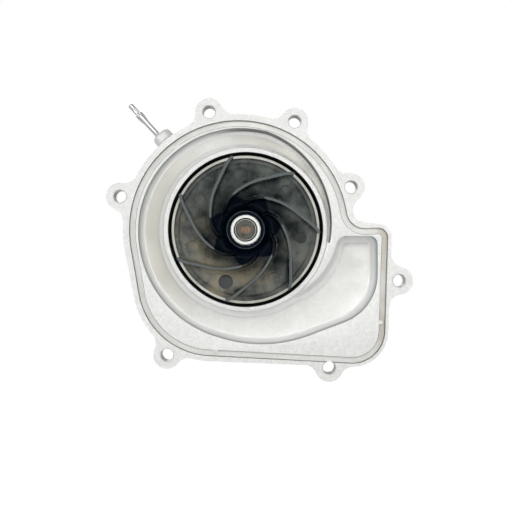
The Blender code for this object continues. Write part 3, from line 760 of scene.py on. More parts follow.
def painted_shade_chamber():
    """Painted shade: the bores behind the impeller, and the narrow gaps and grooves that take this
    finish, are painted near black, as the deep shadow there.
    """
    made, tree = finish("painted_shade_chamber", Specular_IOR_Level=0.1)
    stains = placed(tree, STAINS, Size=7.0, Cover=0.5)
    colour = mix(stains["Mask"], (0.012, 0.014, 0.014), (0.035, 0.034, 0.03))
    grain = placed(tree, GRAIN, Size=0.8, Patch_Size=10.0)
    return wear_in(made, colour, grain, 0.6, 0.75, 0.05)


def groove_floor():
    made, tree = finish("groove_floor", metallic=0.35)
    grain = placed(tree, GRAIN, Size=0.9, Patch_Size=18.0)
    beige = speckled(tree, grain, (0.84, 0.835, 0.80), (0.92, 0.915, 0.885), 0.2)
    side = ramp(height_in(tree, "X"), 0.0940, 0.0965)
    brown = times(side, ramp(grain["Patches"], 0.0, 1.0, 0.25, 0.75))
    floor = mix(brown, beige, (0.73, 0.685, 0.585))
    # Painted shade: faces that don't look forward, the groove's walls and chamfers, are painted dark
    # grey.
    colour = mix(ramp(facing(tree), 0.75, 0.95), (0.30, 0.30, 0.29), floor)
    return wear_in(made, colour, grain, 0.5, 0.62, 0.1)


CORED, BORED = cored_aluminium(), bored_aluminium()
PAINTED_SHADE, GROOVE = painted_shade_chamber(), groove_floor()
print("finishes of the hollows:", [made.name for made in (CORED, BORED, PAINTED_SHADE, GROOVE)])

# %% [markdown]
# ## The housing as it was cast
# A casting has no sharp inner corner. Rather than fillet every joint, the flange, shell, boss, ribs
# and lugs are laid into each other, remeshed into one skin of small even faces and smoothed, which
# rounds each corner as a core and die would. The front stands proud by a few millimetres: machining
# takes it off again in the next cell.

# %% Shells, ribs and lugs
SKIN = 1.15  # size of the remeshed faces
STOCK = 2.5  # what machining takes off


def shell_section(inner, outer, depth, wall):
    """Section of the casting round the scroll, as far in as the chamber's wall."""
    width = math.dist(inner, outer)
    ux, uz = (outer[0] - inner[0]) / width, (outer[1] - inner[1]) / width
    start, end, back, bend = -8.0, width + wall, depth + wall, 8.0
    points = [(start, 2.0), (end, 2.0), *arc((end - bend, back - bend), bend, 0, 90, 6), (start, back)]
    return [(inner[0] + t * ux, y, inner[1] + t * uz) for t, y in points]


def scroll_shells():
    """Two halves, because the outlet passes over the tongue."""
    stations = [station[:3] for station in scroll_stations(step_deg=5.0, end_steps=5)]
    split = len(stations) // 2
    first = [shell_section(*station, WALL) for station in stations[: split + 1]]
    second = [shell_section(*station, WALL + 0.7) for station in stations[split:-5]]
    left, right = second[-1][0][0], second[-1][1][0]
    narrowed = (right - left - WALL) / (right - left)
    end = [(left + (x - left) * narrowed, min(y, POCKET_DEPTH), POCKET_END_Z + WALL)
           for x, y, _ in second[-1]]
    return [lofted("shell_first", first), lofted("shell_second", second + [end])]


def rib(name, degrees, thickness, profile):
    """A flat rib whose (radius, y) profile stands out at an angle round the shaft."""
    bm = extruded([(radius, y, -thickness / 2) for radius, y in profile], (0, 0, thickness))
    return as_object(name, swung(bm, degrees))


def lugs():
    """Ear pads, the tube's boss, the leak chamber and a small ejector pip beside the top ear."""
    made = [turned(f"pad_{name}", rod(EAR_PAD_R + 0.3, 6.0, EAR_T + 1.5), facets=40, at=(x, z))
            for name, (x, z) in EARS.items()]
    boss = turned_mesh(((0, 74.0), (7.2, 74.0), (7.2, 92.2), (5.2, 94.4), (0, 94.4)), facets=40)
    made.append(as_object("tube_boss", pointed_out(boss, TUBE_DEG, TUBE_Y, TUBE_BOSS_OFFSET)))
    x, z = LEAK_CHAMBER
    made.append(turned("leak_boss", rod(LEAK_CHAMBER_R, 20.0, 46.0), facets=60, at=(x, z)))
    made.append(prism("leak_web", ((-9, -8), (-9, -40), (9, -40), (9, -8)), 23.0, 44.0))
    x, z = EARS["top_left"]
    made.append(turned("ejector_pip", rod(2.0, -STOCK, 9.0), facets=24, at=(x + 10.2, z - 0.4)))
    return made


print("the blank is skinned at", SKIN, "mm and stands", STOCK, "mm proud")

# %% [markdown]
# ## One skin
# On the real casting the metal flows into one body. The parts could be joined by booleans and
# bevelled, but bevels fail where many faces meet; a remesh followed by a smooth never does.


# %% Casting blank
def grown_together(blank, parts, skin, factor, rounds):
    """Lays parts into a blank as one skin of small even faces, smoothed to round each corner."""
    bm = bmesh.new()
    for part in [blank, *parts]:
        bm.from_mesh(part.data)
    bm.to_mesh(blank.data)
    bm.free()
    drop(*parts)
    remesh = blank.modifiers.new("skin", "REMESH")
    remesh.mode, remesh.voxel_size = "VOXEL", skin * MM
    smooth = blank.modifiers.new("round corners", "SMOOTH")
    smooth.factor, smooth.iterations = factor, rounds
    return settle(blank)


def casting_blank():
    blank = prism("pump_casting", outline(flange_circles()), -STOCK, FLANGE_T, CAST)
    back = CHAMBER_FLOOR_Y + 5.0
    parts = scroll_shells() + lugs()
    parts.append(turned("bearing_boss", (
        (0.0, -1.0), (LAND_OUTER_R + 2, -1.0), (LAND_OUTER_R + 2, 17.0), (52.0, back - 2), (32.0, back),
        (BOSS_R + 3, back + 5), (BOSS_R, back + 14), (BOSS_R - 2, BOSS_END_Y - 3),
        (BOSS_R - 2.6, BOSS_END_Y + 1.5), (0.0, BOSS_END_Y + 1.5))))
    wing = ((16, 22), (62, 18), (66, 24), (40, 36), (20, 64), (16, 64))
    parts += [rib(f"boss_rib_{degrees}", degrees, 5.0, wing) for degrees in (30, 90, 150, 210, 330)]
    middle = TONGUE_DEG + (POCKET_DEG - TONGUE_DEG) / 2
    parts.append(rib("scroll_rib", middle, 7.0, ((50, 9), (82.7, 9), (82.7, 18), (76, 26), (50, 26.5))))
    return grown_together(blank, parts, SKIN, factor=0.6, rounds=7)


casting = casting_blank()
print("casting blank:", triangles(casting), "triangles")

# %% [markdown]
# ## Machining and coring
# What is left is taken out of the blank with shaped cutters. Each cutter carries the finish that it
# leaves behind: the scroll is a core, so it is as cast, with light and shade painted on, while the face
# mill, the boring bar and the drills leave bright metal. The bores behind the impeller carry a near-black
# painted shade instead. The exact circles of the frame come back here, sharp where metal was cut.


# %% Turned cutters
def face_mill():
    return prism("face_mill", ((-130, -130), (150, -130), (150, 130), (-130, 130)), -9.0, 0.0, MACHINED)


def land_cut():
    """The land round the impeller lies a little below the mating face."""
    edge = 0.3
    return turned("land_cut", (
        (0.0, -PAST), (LAND_OUTER_R, -PAST), (LAND_OUTER_R, LAND_Y), (CHAMBER_R + edge, LAND_Y),
        (CHAMBER_R, LAND_Y + edge), (0.0, LAND_Y + edge)), MACHINED, facets=160)


def land_line():
    """A fine step where the land meets the cored scroll."""
    # Its walls take the groove finish's painted shade.
    line = tube(LAND_OUTER_R - 0.5, LAND_OUTER_R - 0.1, -PAST, LAND_Y + 0.6)
    return turned("land_line", line, GROOVE, facets=160)


# The bores take the near-black painted shade, for the deep shadow behind the impeller.
def bores():
    edge, leak_r = 0.5, 13.8
    return turned("bores", (
        (0.0, -PAST), (CHAMBER_R, -PAST), (CHAMBER_R, 14.0), (50.0, CHAMBER_FLOOR_Y - 1.5),
        (26.0, CHAMBER_FLOOR_Y), (SEAL_SEAT_R + edge, CHAMBER_FLOOR_Y),
        (SEAL_SEAT_R, CHAMBER_FLOOR_Y + edge), (SEAL_SEAT_R, 35.0), (leak_r, 35.0), (leak_r, 39.7),
        (BEARING_SEAT_R, 39.7), (BEARING_SEAT_R, 60.0), (0.0, 60.0)), PAINTED_SHADE, facets=160)


def boss_facing():
    return turned("boss_facing", (
        (0.0, 58.0), (BEARING_SEAT_R, 58.0), (BEARING_SEAT_R, BOSS_END_Y - 1),
        (BEARING_SEAT_R + 1, BOSS_END_Y),
        (BOSS_R + 4, BOSS_END_Y), (BOSS_R + 4, BOSS_END_Y + PAST), (0.0, BOSS_END_Y + PAST)), BORED,
        facets=120)


print("turned cutters reach from", BOSS_END_Y + PAST, "mm to", -PAST, "mm")

# %% [markdown]
# ## The seal groove and the drilled holes
# The groove follows the rim at an even distance, so the rim's own circles are drawn again with smaller
# radii. Both its edges are chamfered. The holes are drilled right through, with a chamfer on each face.


# %% Groove and drills
def seal_groove():
    """The groove for a moulded seal, with three nubs on its inner edge that hold the seal in."""
    base = [(NECK, 0), (RIM, 0), (LOWER_LEFT, 0.6), (LOWER_RIGHT, 2.0), (OUTLET_CORNER, 1.6)]
    edge = 0.3

    def level(y, inset):
        ring = outline([(x, z, r - inset + out) for (x, z, r), out in base])
        return [(x, y, z) for x, z in ring]

    outer, inner = GROOVE_INSET, GROOVE_INSET + GROOVE_W
    groove = lofted("seal_groove", [level(-PAST, outer - edge), level(0, outer - edge),
                                    level(edge, outer), level(GROOVE_D, outer)], GROOVE)
    core = lofted("groove_core", [level(-PAST - 1, inner + edge), level(0, inner + edge),
                                  level(edge, inner), level(GROOVE_D + 1, inner)], GROOVE)
    nubs = [turned(f"nub_{x}", rod(1.7, -PAST - 1, GROOVE_D + 1), GROOVE, facets=24, at=(x, z))
            for x, z in ((-49.5, 59.4), (-21.4, -87.6), (97.2, -66.7))]
    return combine(groove, "DIFFERENCE", core, *nubs)


def ear_drills():
    chamfer = 0.55
    for name, (x, z) in EARS.items():
        yield turned(f"drill_{name}", (
            (0, -PAST), (BOLT_HOLE_R + chamfer, -PAST), (BOLT_HOLE_R + chamfer, 0.0),
            (BOLT_HOLE_R, chamfer), (BOLT_HOLE_R, EAR_T - chamfer), (BOLT_HOLE_R + chamfer, EAR_T),
            (EAR_PAD_R, EAR_T), (EAR_PAD_R, EAR_T + PAST), (0, EAR_T + PAST)),
            BORED, facets=56, at=(x, z))


def small_drills():
    """Tube seat, leak chamber, weep hole and drain."""
    seat, tip, snug = 81.7, 124.0, 2.15
    drilling = turned_mesh(((0, seat - 14), (1.2, seat - 14), (1.2, seat), (snug, seat), (snug, 92.6),
                            (snug + 0.5, 93.2), (snug + 0.5, tip), (0, tip)), facets=32)
    yield as_object("tube_drilling", pointed_out(drilling, TUBE_DEG, TUBE_Y), BORED)
    x, z = LEAK_CHAMBER
    yield turned("leak_hollow", rod(10.6, 29.0, 52.0), BORED, facets=64, at=(x, z))
    weep, drain = ("weep_hole", rod(2.5, 8.0, 30.0), 37.3), ("drain_hole", rod(1.8, 40.0, 60.0), 36.0)
    for name, hole, y in (weep, drain):
        yield as_object(name, pointed_out(turned_mesh(hole, 32), -90.0, y), BORED)
    # The nick is painted near black, as shade.
    yield turned("nick", rod(0.8, -PAST, 1.6), PAINTED_SHADE, facets=20, at=at_angle(60.6, -58))


print(len(EARS), "ears to drill")

# %% [markdown]
# ## Cutting the casting
# Booleans could be done one by one in the editor; stacked on the one blank and applied together, they
# can be changed later. Small wobbles of the skin past the frame's box are pressed back at the end.

# %% Cut the casting
combine(casting, "DIFFERENCE", face_mill(), trough(CORED), land_cut(), land_line(), bores(),
        boss_facing(), seal_groove())
combine(casting, "DIFFERENCE", *ear_drills(), *small_drills())
for vertex in casting.data.vertices:  # the skin may swell by 0.1 mm, so it is held to the frame's box
    for axis in range(3):
        vertex.co[axis] = min(max(vertex.co[axis], cad_low[axis]), cad_high[axis])
print("housing:", triangles(casting), "triangles,", [slot.name for slot in casting.material_slots])

# %% [markdown]
# ## Moulded and steel finishes
# The impeller is a dark glossy moulding with slow blotches of painted reflection on it. Its blade tops
# were skimmed after moulding, so they are paler and matt, and so is the rim. Turned steel shows rings
# round the shaft, plated and coated steel don't. The shaft's end is tarnished, with a tan centre.


# %% Rotor finish helpers
def even_finish(name, first, second, smooth, rough, relief_mm, metallic=0.0, gloss=0.5,
                grain_mm=0.5, patch_mm=9.0):
    """Plated, coated, moulded, rubber, carbon and ceramic surfaces: fine grain with slow patches."""
    made, tree = finish(name, metallic=metallic, Specular_IOR_Level=gloss)
    grain = placed(tree, GRAIN, Size=grain_mm, Patch_Size=patch_mm)
    colour = mix(grain["Patches"], first, second)
    return wear_in(made, colour, grain, smooth, rough, relief_mm)


def moulded_black(name, low, high, smooth, rough, relief_mm, grain_mm=1.4, gloss=0.5):
    return even_finish(name, low, high, smooth, rough, relief_mm, gloss=gloss, grain_mm=grain_mm,
                       patch_mm=15.0)


def glossy_moulding():
    """The impeller's own surface: blue-black towards the hub; further out, painted reflections show as
    grey and tan blotches, the tan mostly on the lower side.
    """
    made, tree = finish("moulded_black", Specular_IOR_Level=0.22)
    grain = placed(tree, GRAIN, Size=1.3, Patch_Size=16.0)
    broad = placed(tree, GRAIN, Size=1.0, Patch_Size=27.0)
    spots = placed(tree, STAINS, Size=6.0, Cover=0.35)
    # Painted reflection: grey and tan blotches stand in for the room mirrored in the gloss, the tan
    # mostly towards the lower side.
    painted_reflection_side = ramp(along(tree, (-0.55, 0, -0.83)), -0.015, 0.028, 0.12, 0.9)
    grey = mix(grain["Patches"], (0.008, 0.015, 0.016), (0.125, 0.142, 0.130))
    tan_share = times(times(broad["Patches"], grain["Patches"]), painted_reflection_side)
    tan = mix(tan_share, grey, (0.28, 0.245, 0.165))
    spotted = mix(times(spots["Mask"], 0.45), tan, (0.012, 0.016, 0.016))
    # Towards the hub the disc is left blue-black, without the painted reflections.
    colour = mix(ramp(off_axis(tree), 0.020, 0.038), (0.0015, 0.005, 0.008), spotted)
    return wear_in(made, colour, grain, 0.18, 0.32, 0.10)


def turned_steel(name, bright, dull, smooth, rough, metallic=1.0):
    made, tree = finish(name, metallic=metallic)
    rings = placed(tree, TURNING, Pitch=0.35)
    stains = placed(tree, STAINS, Size=3.0, Cover=0.3)
    colour = mix(times(stains["Mask"], 0.5),
                 mix(rings["Streaks"], bright, dull), dull)
    return wear_in(made, colour, rings, smooth, rough, 0.015)


def tarnished_end():
    """The shaft's bare end: grey-brown, turning tan at the centre."""
    made, tree = finish("tarnished_end", metallic=0.3, Specular_IOR_Level=0.3)
    radius = off_axis(tree, (0.7, 0, 1.1))
    stains = placed(tree, STAINS, Size=2.4, Cover=0.5)
    wavy = plus(radius, times(stains["Mask"], 0.0012))
    middle = ramp(wavy, 0.0012, 0.0042, 1.0, 0.0)
    rings = placed(tree, TURNING, Pitch=0.9)
    dull = mix(times(plus(stains["Mask"], rings["Streaks"]), 0.5),
               (0.075, 0.074, 0.062), (0.014, 0.014, 0.012))
    tan_share = times(middle, ramp(stains["Mask"], 0, 1, 0.55, 1.0))
    colour = mix(tan_share, dull, (0.34, 0.20, 0.11))
    return wear_in(made, colour, (rings["Height"], stains["Mask"]), 0.4, 0.6, 0.02)


print("rotor finish helpers:", even_finish.__name__, turned_steel.__name__)

# %% [markdown]
# ## The rotor's finishes
# Dark and bright tone, smooth and rough: with those four numbers for each, one helper serves rubber,
# carbon and plated steel alike.

# %% Rotor finishes
MOULDED = glossy_moulding()
PIT = moulded_black("hub_pit", (0.0008, 0.003, 0.006), (0.0018, 0.007, 0.014), 0.22, 0.32, 0.05,
                    gloss=0.03)
SKIMMED = moulded_black("skimmed_top", (0.055, 0.07, 0.073), (0.085, 0.10, 0.102), 0.45, 0.55, 0.04, 0.7)
PALE_RIM = moulded_black("pale_rim", (0.50, 0.50, 0.445), (0.66, 0.66, 0.60), 0.5, 0.6, 0.03, 0.6)
MARK = moulded_black("pin_mark", (0.014, 0.019, 0.019), (0.035, 0.041, 0.039), 0.25, 0.35, 0.06,
                     gloss=0.28)
BRIGHT_STEEL = turned_steel("bright_steel", (0.70, 0.705, 0.68), (0.58, 0.58, 0.56), 0.42, 0.52, 0.5)
BEARING_STEEL = turned_steel("bearing_steel", (0.70, 0.70, 0.69), (0.58, 0.58, 0.57), 0.16, 0.26)
STAINLESS = turned_steel("stainless", (0.62, 0.62, 0.60), (0.50, 0.50, 0.48), 0.20, 0.32)
PLATED = even_finish("plated_steel", (0.66, 0.665, 0.66), (0.52, 0.52, 0.50), 0.16, 0.28, 0.02, 1.0)
COATED = even_finish("coated_steel", (0.05, 0.052, 0.055), (0.075, 0.077, 0.08), 0.38, 0.5, 0.04, 0.6)
RUBBER = even_finish("black_rubber", (0.02, 0.02, 0.02), (0.035, 0.034, 0.033), 0.55, 0.7, 0.03)
CARBON = even_finish("carbon", (0.04, 0.04, 0.042), (0.06, 0.06, 0.062), 0.3, 0.42, 0.01, 0.2)
CERAMIC = even_finish("ceramic", (0.20, 0.19, 0.17), (0.26, 0.25, 0.23), 0.25, 0.35, 0.005)
TARNISHED = tarnished_end()
print(len(bpy.data.materials), "finishes so far")

# %% [markdown]
# ## The impeller as it was moulded
# The impeller is one moulding: a shallow dished disc with a hub, and curved blades that thin out and
# swoop down towards the hub. Each blade is lofted from thin upright sections along its centre line.
# As on the casting, one voxel remesh rounds all the roots at once, and the tops are cut flat later.

# %% Impeller blank
IMPELLER_SKIN = 0.72
BLADE_LINE = ((-4, 53.2), (0, 50.7), (6, 45.6), (14, 40.4), (26, 35.3), (39, 31.0), (52, 27.6),
              (66, 25.0), (79, 22.0), (91, 18.6))
BLADE_START_DEG = 1.0
DISC = ((48.7, 7.8), (38.0, 9.8), (28.0, 12.6), (20.0, 15.0))  # front of the disc, (radius, y)


def smooth_line(points, steps):
    """Points on a smooth curve through all the given ones."""
    ends = [points[0]] + list(points) + [points[-1]]
    curve = []
    for a, b, c, d in zip(ends, ends[1:], ends[2:], ends[3:]):
        for k in range(steps):
            t = k / steps
            curve.append(tuple(
                0.5 * (2 * q + (r - p) * t + (2 * p - 5 * q + 4 * r - s) * t * t
                       + (3 * q - p - 3 * r + s) * t**3) for p, q, r, s in zip(a, b, c, d)))
    return curve + [tuple(points[-1])]


def blade(number):
    line = smooth_line(BLADE_LINE, 4)
    turn = BLADE_START_DEG + number * 360 / BLADES
    spots = [at_angle(radius, turn + degrees) for degrees, radius in line]
    flat = [Vector((x, 0, z)) for x, z in spots]
    sections = []
    for k, ((degrees, radius), place) in enumerate(zip(line, flat)):
        way = flat[min(k + 1, len(flat) - 1)] - flat[max(k - 1, 0)]
        across = Vector((way.z, 0, -way.x)).normalized()
        share = k / (len(flat) - 1)
        half = 1.08 * (1 - 0.32 * share)
        drop_down = 12 * max(0.0, (degrees - 52) / (BLADE_LINE[-1][0] - 52)) ** 1.3
        top = BLADE_TOP_Y - 1.2 + drop_down
        foot = 17.0 if radius < 24 else 17.0 - (radius - 24) * 0.27
        corners = ((-1, top, 1), (1, top, 1), (1, foot, 1.25), (-1, foot, 1.25))
        sections.append([place + across * side * half * wide + Vector((0, y, 0))
                         for side, y, wide in corners])
    return lofted(f"blade_{number}", sections)


def impeller_blank():
    blank = turned("impeller_moulding", (
        (11.3, 9.4), (14.1, 9.4), (14.9, 10.4), (16.6, 14.2), *reversed(DISC), (51.6, 4.0),
        (IMPELLER_R, 4.0), (IMPELLER_R, 10.5), (40.0, 14.2), (28.0, 17.6),
        (15.5, 18.6), (15.5, 20.0), (11.3, 20.0)), MOULDED, facets=180)
    blades = [blade(number) for number in range(BLADES)]
    return grown_together(blank, blades, IMPELLER_SKIN, factor=0.5, rounds=5)


impeller = impeller_blank()
print("impeller blank:", triangles(impeller), "triangles")

# %% [markdown]
# ## Skimming the impeller
# The blade tops are cut to one plane, and the outer edge and the rim are turned. Round ejector pins
# left shallow circles between the blades, and three small dimples show near the hub.


# %% Impeller cuts
def pin_mark(number, radius, degrees, size, sink, left_by):
    """A shallow round mark, square to the sloping disc."""
    (near, low), (far, high) = DISC[1], DISC[0]
    slope = math.atan2(high - low, near - far)
    height = low + (radius - far) * (high - low) / (near - far)
    bm = turned_mesh(((0, -4.0), (size, -4.0), (size, sink), (0, sink)), facets=40)
    bmesh.ops.rotate(bm, cent=(0, 0, 0), matrix=Matrix.Rotation(-slope, 3, "Z"), verts=bm.verts)
    bmesh.ops.translate(bm, vec=(radius, height, 0), verts=bm.verts)
    return as_object(f"pin_mark_{number}", swung(bm, degrees), left_by)


def impeller_cuts():
    top = BLADE_TOP_Y
    yield prism("skim", ((-60, -60), (60, -60), (60, 60), (-60, 60)), top - 6, top, SKIMMED)
    yield turned("bore", rod(11.1, top - 6, 30.0), BRIGHT_STEEL, facets=120)
    edge = 0.3
    yield turned("rim_turning", (
        (51.8, 0.0), (IMPELLER_R + 5, 0.0), (IMPELLER_R + 5, 14.0), (IMPELLER_R, 14.0),
        (IMPELLER_R, 5.0 + edge), (IMPELLER_R - edge, 5.0), (51.8, 5.0)), PALE_RIM, facets=180)
    yield turned("step_ring", ((48.6, 0.0), (51.7, 0.0), (51.7, 8.9), (49.0, 8.9)), MOULDED, facets=180)
    yield turned("hub_edge", ((13.5, 8.0), (14.9, 8.0), (14.9, 9.6), (13.5, 9.6)), SKIMMED, facets=120)
    for k in range(BLADES):
        left_by = MARK if k in (0, 5) else MOULDED  # two of the marks have gone dark
        yield pin_mark(k, 40.5, -8.0 + k * 360 / BLADES, 4.4 + 0.45 * (k % 3), 0.22, left_by)
    for k, (radius, degrees) in enumerate(((17.4, 40), (19.2, -12), (18.6, 143))):
        yield turned(f"dimple_{k}", rod(0.9, 6.0, 15.6), MOULDED, facets=24,
                     at=at_angle(radius, degrees))


def paint_pit(thing):
    """The blue-black pit round the hub has a scalloped edge, one scallop to a blade."""
    thing.data.materials.append(PIT)
    pit = len(thing.data.materials) - 1
    moulded = thing.data.materials.find(MOULDED.name)
    for face in thing.data.polygons:
        x, y, z = face.center / MM
        edge = 23.5 + 2.5 * math.sin(BLADES * math.atan2(z, x) + 0.6)
        if face.material_index == moulded and math.hypot(x, z) < edge and y > 9.0:
            face.material_index = pit


combine(impeller, "DIFFERENCE", *impeller_cuts())
paint_pit(impeller)
print("impeller:", triangles(impeller), "triangles")

# %% [markdown]
# ## Bush, shaft and bearing
# The steel bush is moulded into the impeller and pressed on the shaft. The bearing has no inner ring:
# its balls run in two grooves ground into the shaft itself.


# %% Bush, shaft and bearing
def race(y):
    """Half round groove that one row of balls runs in."""
    ball_r, pitch_r = 3.25, 10.35
    reach_y = math.sqrt(ball_r**2 - (pitch_r - SHAFT_R) ** 2)
    turns = [-reach_y + 2 * reach_y * k / 10 for k in range(11)]
    return [(pitch_r - math.sqrt(ball_r**2 - t * t), y + t) for t in turns]


SHAFT_R = 7.96
shaft_start, shaft_end = SHAFT_Y
profile = [(0.0, shaft_start + 0.5), (1.3, shaft_start + 0.3), (1.6, shaft_start), (6.75, shaft_start),
           (6.85, shaft_start + 0.4), (7.15, shaft_start + 0.4), (7.25, shaft_start), (7.4, shaft_start),
           (SHAFT_R, shaft_start + 0.6)]
profile += race(49.0) + race(69.0)
profile += [(SHAFT_R, shaft_end - 0.8), (SHAFT_R - 0.8, shaft_end), (0.0, shaft_end)]
shaft = turned("shaft", profile, TARNISHED, facets=120)
for ground in (BRIGHT_STEEL, BEARING_STEEL, PAINTED_SHADE):
    shaft.data.materials.append(ground)
# Painted shade: at the front end, the fine ring groove between 6.8 and 7.2 mm is painted near black;
# inside it the end is tarnished, outside it bright.
for face in shaft.data.polygons:
    radius = math.hypot(face.center.x, face.center.z) / MM
    if face.center.y < (shaft_start + 0.7) * MM:
        face.material_index = 0 if radius < 6.8 else 3 if radius < 7.2 else 1
    else:
        face.material_index = 2

bush = turned("bush", (
    (8.7, 9.0), (10.75, 9.0), (11.08, 9.35), (11.08, 20.0), (8.23, 20.0), (8.23, 9.9)), BRIGHT_STEEL,
    facets=120)
# Painted shade: the bush's bore, the gap round the shaft, is painted near black.
bush.data.materials.append(PAINTED_SHADE)
for face in bush.data.polygons:
    face.material_index = int(math.hypot(face.center.x, face.center.z) < 8.6 * MM)
outer_ring = turned("bearing_ring", (
    (12.9, 40.0), (14.5, 40.0), (15.0, 40.6), (15.0, 77.4), (14.5, 78.0), (12.9, 78.0), (12.7, 77.8),
    (12.7, 40.2)), BEARING_STEEL, facets=120)
print("shaft", triangles(shaft), "bush", triangles(bush), "ring", triangles(outer_ring), "triangles")

# %% [markdown]
# ## The belt pulley and its hub
# The pulley is a deep cup with V-shaped valleys for a ribbed belt, bolted to a hub that is pressed on
# the shaft. Valleys and tips are rounded, as the belt wears them. The windows let the bolts be reached.

# %% Pulley and hub
RIB_PITCH, RIB_COUNT = 3.56, 8
WEB_FRONT, WEB_BACK = 97.3, 101.3
BOLTS = [at_angle(27.0, degrees) for degrees in (45, 135, 225, 315)]


def belt_face():
    """The V profile from the front flange to the back one, with rounded tips and valleys."""
    tip_r, valley_r, flat = 65.0, 62.2, 0.35
    points = [(57.5, PULLEY_Y[0]), (65.2, PULLEY_Y[0]), (65.5, PULLEY_Y[0] + 0.3), (65.5, 69.4)]
    for k in range(RIB_COUNT):
        y = 70.4 + RIB_PITCH * k
        if k:
            points += [(tip_r - 0.15, y - flat), (tip_r, y), (tip_r - 0.15, y + flat)]
        middle = y + RIB_PITCH / 2
        side = valley_r + 0.15
        points += [(side, middle - flat), (valley_r, middle), (side, middle + flat)]
    return points + [(65.5, 98.88), (65.5, 100.5), (64.0, WEB_BACK)]


pulley = turned("belt_pulley", belt_face() + [
    (57.5, WEB_BACK), (57.0, WEB_BACK - 0.5), (54.4, WEB_BACK - 0.5), (53.9, WEB_BACK),
    (36.6, WEB_BACK), (36.3, WEB_BACK - 0.35), (35.7, WEB_BACK - 0.35), (35.4, WEB_BACK),
    (15.6, WEB_BACK), (15.3, WEB_BACK - 0.3), (15.3, WEB_FRONT + 0.3), (15.6, WEB_FRONT),
    (54.5, WEB_FRONT), (56.6, WEB_FRONT - 0.9), (57.5, WEB_FRONT - 3.0)], COATED, facets=160)
cuts = []
for k, (x, z) in enumerate(WINDOWS):
    cuts.append(turned(f"window_{k}", (
        (0, 90), (9.0, 90), (9.0, WEB_FRONT), (8.5, WEB_FRONT + 0.5), (8.5, WEB_BACK - 0.5),
        (9.0, WEB_BACK), (9.0, 108), (0, 108)), COATED, facets=64, at=(x, z)))
for k, (x, z) in enumerate(BOLTS):
    cuts.append(turned(f"bolt_hole_{k}", rod(4.4, 90, 108), COATED, facets=48, at=(x, z)))
combine(pulley, "DIFFERENCE", *cuts)

hub = turned("hub", (
    (8.26, 81.0), (14.0, 81.0), (14.5, 81.5), (14.5, 88.5), (16.0, 90.0), (35.5, 90.0), (36.0, 90.5),
    (36.0, 96.7), (35.7, 97.0), (15.0, 97.0), (15.0, 99.6), (14.6, 100.0), (8.26, 100.0)),
    COATED, facets=128)
taps = [turned(f"tap_{k}", rod(4.0, 84, 104), COATED, facets=40, at=(x, z))
        for k, (x, z) in enumerate(BOLTS)]
combine(hub, "DIFFERENCE", *taps)
print("pulley", triangles(pulley), "hub", triangles(hub), "triangles")

# %% [markdown]
# ## Flange bolts
# Four hexagon bolts with a washer face formed on the head. A hexagon is a cylinder of six sides cut
# with a cone at its corners, which gives the curved edges that a real bolt head has.


# %% Bolts
def flange_bolt(name, x, z):
    seat = WEB_BACK + 0.3
    corner_r = 13.0 / math.sqrt(3)  # 13 mm across the flats
    flange = turned(name, (
        (0, seat - 14), (3.2, seat - 14), (3.7, seat - 13.4), (3.7, seat), (7.9, seat), (8.2, seat + 0.3),
        (8.1, seat + 0.9), (7.5, seat + 1.7), (5.6, seat + 2.4), (0, seat + 2.4)), PLATED, facets=72)
    head = turned(f"{name}_head", rod(corner_r, seat + 1.0, seat + 6.5), PLATED, facets=6)
    cone = turned(f"{name}_cone", (
        (0, seat - 1), (9.5, seat - 1), (9.5, seat + 4.6), (6.2, seat + 6.5), (5.0, seat + 6.5),
        (4.6, seat + 6.1), (0, seat + 6.1)), PLATED, facets=72)
    combine(head, "INTERSECT", cone)
    combine(flange, "UNION", head)
    for vertex in flange.data.vertices:
        vertex.co += Vector((x, 0, z)) * MM
    return flange


bolts = [flange_bolt(f"flange_bolt_{k + 1}", x, z)
         for k, (x, z) in enumerate(BOLTS)]
print(len(bolts), "bolts of", triangles(bolts[0]), "triangles")

# %% [markdown]
# ## Vent tube and leak chamber cap
# The tube is pressed into its boss beside the top left ear. A collar near its end holds a hose. The
# cap is a pressed steel cup that closes the chamber where drips from the seal dry off.

# %% Tube and cap
vent = turned_mesh((
    (1.2, 82.0), (2.0, 82.0), (2.0, 92.0), (1.72, 92.5), (1.72, 93.0), (2.0, 93.5), (2.0, 106.6),
    (2.2, 107.6), (2.65, 110.6), (2.75, 111.3), (2.75, 114.4), (2.6, 114.9), (2.0, 115.4), (1.9, 115.8),
    (1.9, 119.2), (1.75, 119.5), (1.9, 119.8), (1.9, 123.5), (1.5, 124.0), (1.2, 124.0)), facets=48)
tube_piece = as_object("tube", pointed_out(vent, TUBE_DEG, TUBE_Y), PLATED)
x, z = LEAK_CHAMBER
cap = turned("cap", (
    (0, 42.0), (9.4, 42.0), (10.1, 42.3), (10.4, 43.0), (10.4, 45.8), (10.2, 46.0), (9.4, 46.0),
    (9.2, 45.8), (9.2, 43.6), (8.9, 43.3), (0, 43.3)), PLATED, facets=72, at=(x, z))
print("tube", triangles(tube_piece), "cap", triangles(cap), "triangles")

# %% [markdown]
# ## Everything in its place
# Each piece rides on a body of the frame, stands for a node and names the slot that its finish belongs
# to. The nodes that stay are the balls, the seals and the small rings inside, which only need a finish.

